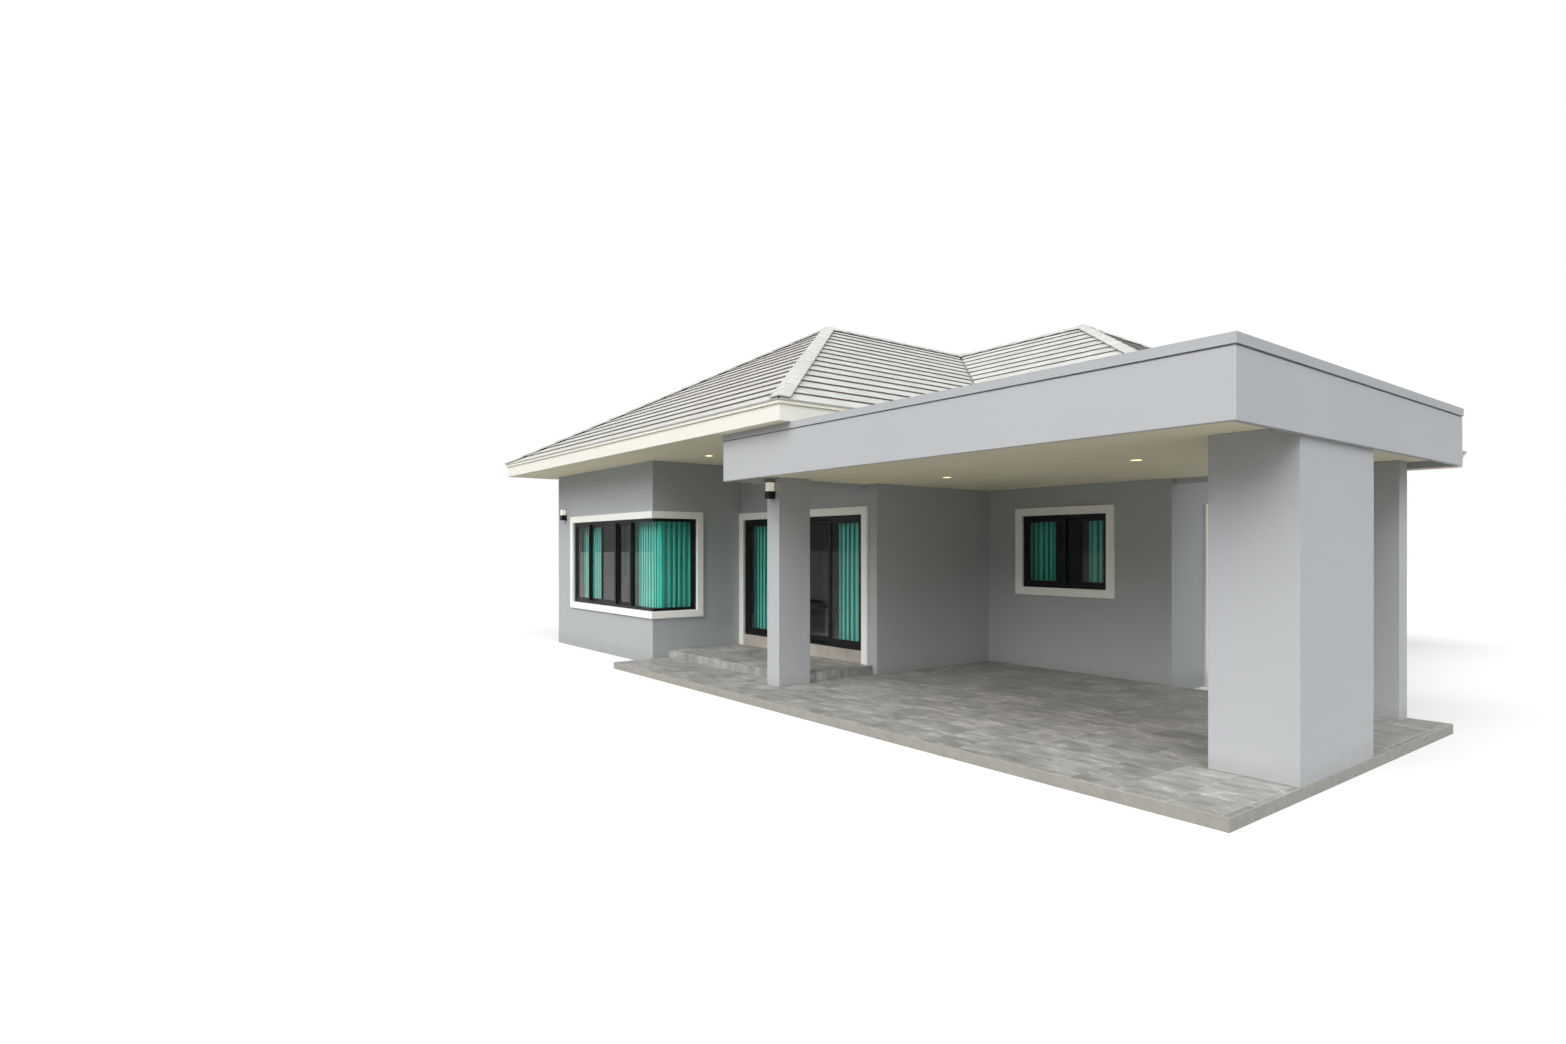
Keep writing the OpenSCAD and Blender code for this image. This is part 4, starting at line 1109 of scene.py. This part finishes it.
def build_downlights():
    """A white trim ring and a glowing lens for each recessed ceiling light."""
    trims, lenses = Shapes(), Shapes()
    for low, high in solids("downlights"):
        middle = Vector(((low.x + high.x) / 2, (low.y + high.y) / 2, high.z))
        radius = (high.x - low.x) / 2
        deep = high.z - low.z
        outer = [(radius, 0), (radius, -deep * 0.5), (radius - TRIM_LIP, -deep)]
        inner = [(radius - TRIM_FACE, -deep), (radius - TRIM_W, -deep * 0.4), (radius - TRIM_W, 0.0)]
        turned(trims, middle, outer + inner)
        radius -= LENS_IN
        dome = [(radius * 0.6, -deep * 0.55), (LENS_TIP, -deep * 0.6)]
        turned(lenses, middle, [(radius, 0.0), (radius, -deep * 0.35), *dome])
    trims.piece("downlight_trims", TRIM_WHITE, "rail_paint")
    lens = FINISHES["light_lens"]
    lenses.piece("downlight_lenses", lens, "light_lens", replaces=["downlights"], smooth=True)


def lamp_block(shapes, low, high, inside, z0, z1, steps=5):
    """An upright block inside a lamp's box, between two levels, with its upright edges rounded."""
    radius = LAMP_ROUND
    x0, y0, x1, y1 = low.x + inside, low.y + inside, high.x - inside, high.y - inside
    ring = []
    for x, y, first in (
        (x1 - radius, y1 - radius, 0),
        (x0 + radius, y1 - radius, 90),
        (x0 + radius, y0 + radius, 180),
        (x1 - radius, y0 + radius, 270),
    ):
        for k in range(steps + 1):
            a = math.radians(first + 90 * k / steps)
            ring.append((x + radius * math.cos(a), y + radius * math.sin(a)))
    shapes.slab([Vector((x, y, z0)) for x, y in ring], [Vector((x, y, z1)) for x, y in ring])


def build_wall_lamps():
    """Lamps on a back plate: a ribbed opal lens under a lid, on a dark rounded body."""
    metal, lens = Shapes(), Shapes()
    for low, high in solids("wall_lamps"):
        split, lid = low.z + LAMP_SPLIT, high.z - LAMP_LID_T
        lamp_block(metal, low, high, 0.0, low.z, split)
        lamp_block(metal, low, high, 0.0, lid, high.z)
        lamp_block(metal, low, high, LAMP_BASE_IN, split, split + LAMP_BASE_T)
        edge = LAMP_ROUND
        metal.box((low.x + edge, high.y - edge, split), (high.x - edge, high.y, lid))
        rib = (lid - split - LAMP_BASE_T) / LAMP_RIBS
        lamp_block(lens, low, high, LAMP_GLASS_IN, split + LAMP_BASE_T, lid)
        for i in range(LAMP_RIBS):
            z = split + LAMP_BASE_T + i * rib
            lamp_block(lens, low, high, LAMP_RIB_IN, z + rib * 0.24, z + rib)
    dark = FINISHES["lamp_metal"]
    body = metal.piece("wall_lamp_bodies", dark, "lamp_metal", replaces=["wall_lamps"])
    ease_edges(body, LAMP_EASE)
    opal = lens.piece("wall_lamp_lenses", LAMP_LENS, "light_lens")
    ease_edges(opal, LAMP_RIB_EASE)


# Curtains


def hang_curtain(name, low, high):
    """One pleated curtain that fills the depth of its CAD block and hangs from its rail."""
    chance = random.Random(name)
    along = 0 if high.x - low.x > high.y - low.y else 1
    across = 1 - along
    width, depth = high[along] - low[along], high[across] - low[across]
    drop = high.z - low.z
    folds = max(2, round(width / FOLD_W))
    columns = folds * FOLD_POINTS
    sway = [chance.uniform(0, 2 * math.pi) for _ in range(4)]
    middle = (low[across] + high[across]) / 2
    points = []
    for row in range(CURTAIN_ROWS + 1):
        down = row / CURTAIN_ROWS
        for i in range(columns + 1):
            s = i / columns
            turn = 2 * math.pi * ((folds + 0.5) * s - 0.25)
            loose = min(1.0, down * 2.5)
            turn += FOLD_WANDERS * loose * math.sin(2 * math.pi * s * 1.3 + sway[0] + 0.8 * down)
            size = FOLD_DEPTH + FOLD_OPENS * loose
            size += FOLD_VARIES * math.sin(2 * math.pi * s * 2.1 + sway[1]) * loose
            size += FOLD_RIPPLES * math.sin(5 * s * math.pi + sway[2] + 2 * down) * loose
            edge = min(1.0, s * folds * 2.5, (1 - s) * folds * 2.5)
            bulge = -FOLD_BULGE * width / folds * math.sin(2 * turn) * edge
            place = [0.0, 0.0, high.z - drop * down]
            place[along] = low[along] + width * s + bulge
            place[across] = middle + depth * 0.5 * min(FOLD_MOST, size) * math.sin(turn)
            points.append(Vector(place))
    step = columns + 1
    faces = []
    for row in range(CURTAIN_ROWS):
        for i in range(columns):
            a = row * step + i
            faces.append([a, a + 1, a + 1 + step, a + step])
    cloth = add_piece(name, points, faces, FINISHES["curtain_cloth"], "curtain_cloth", smooth=True)
    return cloth


def build_curtains():
    for i, (low, high) in enumerate(solids("curtains")):
        hang_curtain(f"curtain_{i + 1:02d}", low, high)
    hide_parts("curtains")


# Stage, lamps and camera


def build_stage():
    """A wide pale floor that fades to the white of the background far away."""
    t = Tree("studio_floor")
    rays = t.node("LightPath")
    seen = t.math("MAXIMUM", rays.outputs["Is Camera Ray"], rays.outputs["Is Glossy Ray"])
    tone = t.mix(seen, rgb(140, 139, 136), rgb(246, 246, 245))
    t.finish(tone, 0.9, None, Specular_IOR_Level=0.1)
    far = t.node("VectorMath", {0: t.place}, operation="LENGTH").outputs["Value"]
    white = t.node("Emission", {"Color": (1, 1, 1, 1), "Strength": 1.0}).outputs[0]
    share = t.math("MULTIPLY", t.ramp(far, FADE_START, FADE_END), seen)
    both = t.node("MixShader", {0: share, 1: t.surface.outputs[0], 2: white}).outputs[0]
    t.links.new(both, t.output.inputs[0])
    sides = ((-1, -1), (1, -1), (1, 1), (-1, 1))
    corners = [(x * FLOOR_REACH, y * FLOOR_REACH, FLOOR_LEVEL) for x, y in sides]
    mesh = bpy.data.meshes.new("studio_floor")
    mesh.from_pydata(corners, [], [(0, 1, 2, 3)])
    mesh.materials.append(t.material)
    floor = bpy.data.objects.new("studio_floor", mesh)
    bpy.context.scene.collection.objects.link(floor)


def build_light():
    """An even overcast sky, broad soft suns from the front and the side, and a white background."""
    world = bpy.data.worlds.new("studio")
    bpy.context.scene.world = world
    world.use_nodes = True
    nodes, links = world.node_tree.nodes, world.node_tree.links
    background = nodes["Background"]
    background.inputs["Color"].default_value = (1, 1, 1, 1)
    rays = nodes.new("ShaderNodeLightPath")
    seen = nodes.new("ShaderNodeMath")
    seen.operation = "MAXIMUM"
    links.new(rays.outputs["Is Camera Ray"], seen.inputs[0])
    links.new(rays.outputs["Is Transmission Ray"], seen.inputs[1])
    strength = nodes.new("ShaderNodeMapRange")
    strength.inputs["To Min"].default_value = SKY
    strength.inputs["To Max"].default_value = 1.0
    links.new(seen.outputs[0], strength.inputs["Value"])
    links.new(strength.outputs[0], background.inputs["Strength"])

    for name, energy, angle, colour, towards in SUNS:
        lamp = bpy.data.lights.new(name, "SUN")
        lamp.energy = energy
        lamp.color = colour
        lamp.angle = math.radians(angle)
        shining = bpy.data.objects.new(name, lamp)
        shining.rotation_mode = "QUATERNION"
        shining.rotation_quaternion = towards.to_track_quat("-Z", "Y")
        bpy.context.scene.collection.objects.link(shining)


def build_camera():
    """The photograph's camera: level, and shifted so that the horizon lies on its row."""
    camera = bpy.data.cameras.new("camera")
    camera.sensor_width = SENSOR_W
    camera.lens = FOCAL_PIXELS / IMAGE_W * SENSOR_W
    camera.shift_y = (HORIZON_ROW - IMAGE_H / 2) / IMAGE_W
    camera.clip_end = FAR_CLIP
    eye = bpy.data.objects.new("camera", camera)
    eye.location = EYE
    eye.rotation_euler = (math.radians(90), 0, math.radians(LOOK_AZIMUTH))
    bpy.context.scene.collection.objects.link(eye)
    bpy.context.scene.camera = eye
    bpy.context.scene.view_settings.view_transform = "Standard"


dress_frame()
build_roof()
pave_carport()
pave_terrace()
pave_side_step()
build_openings()
build_downlights()
build_wall_lamps()
build_curtains()
build_stage()
build_light()
build_camera()
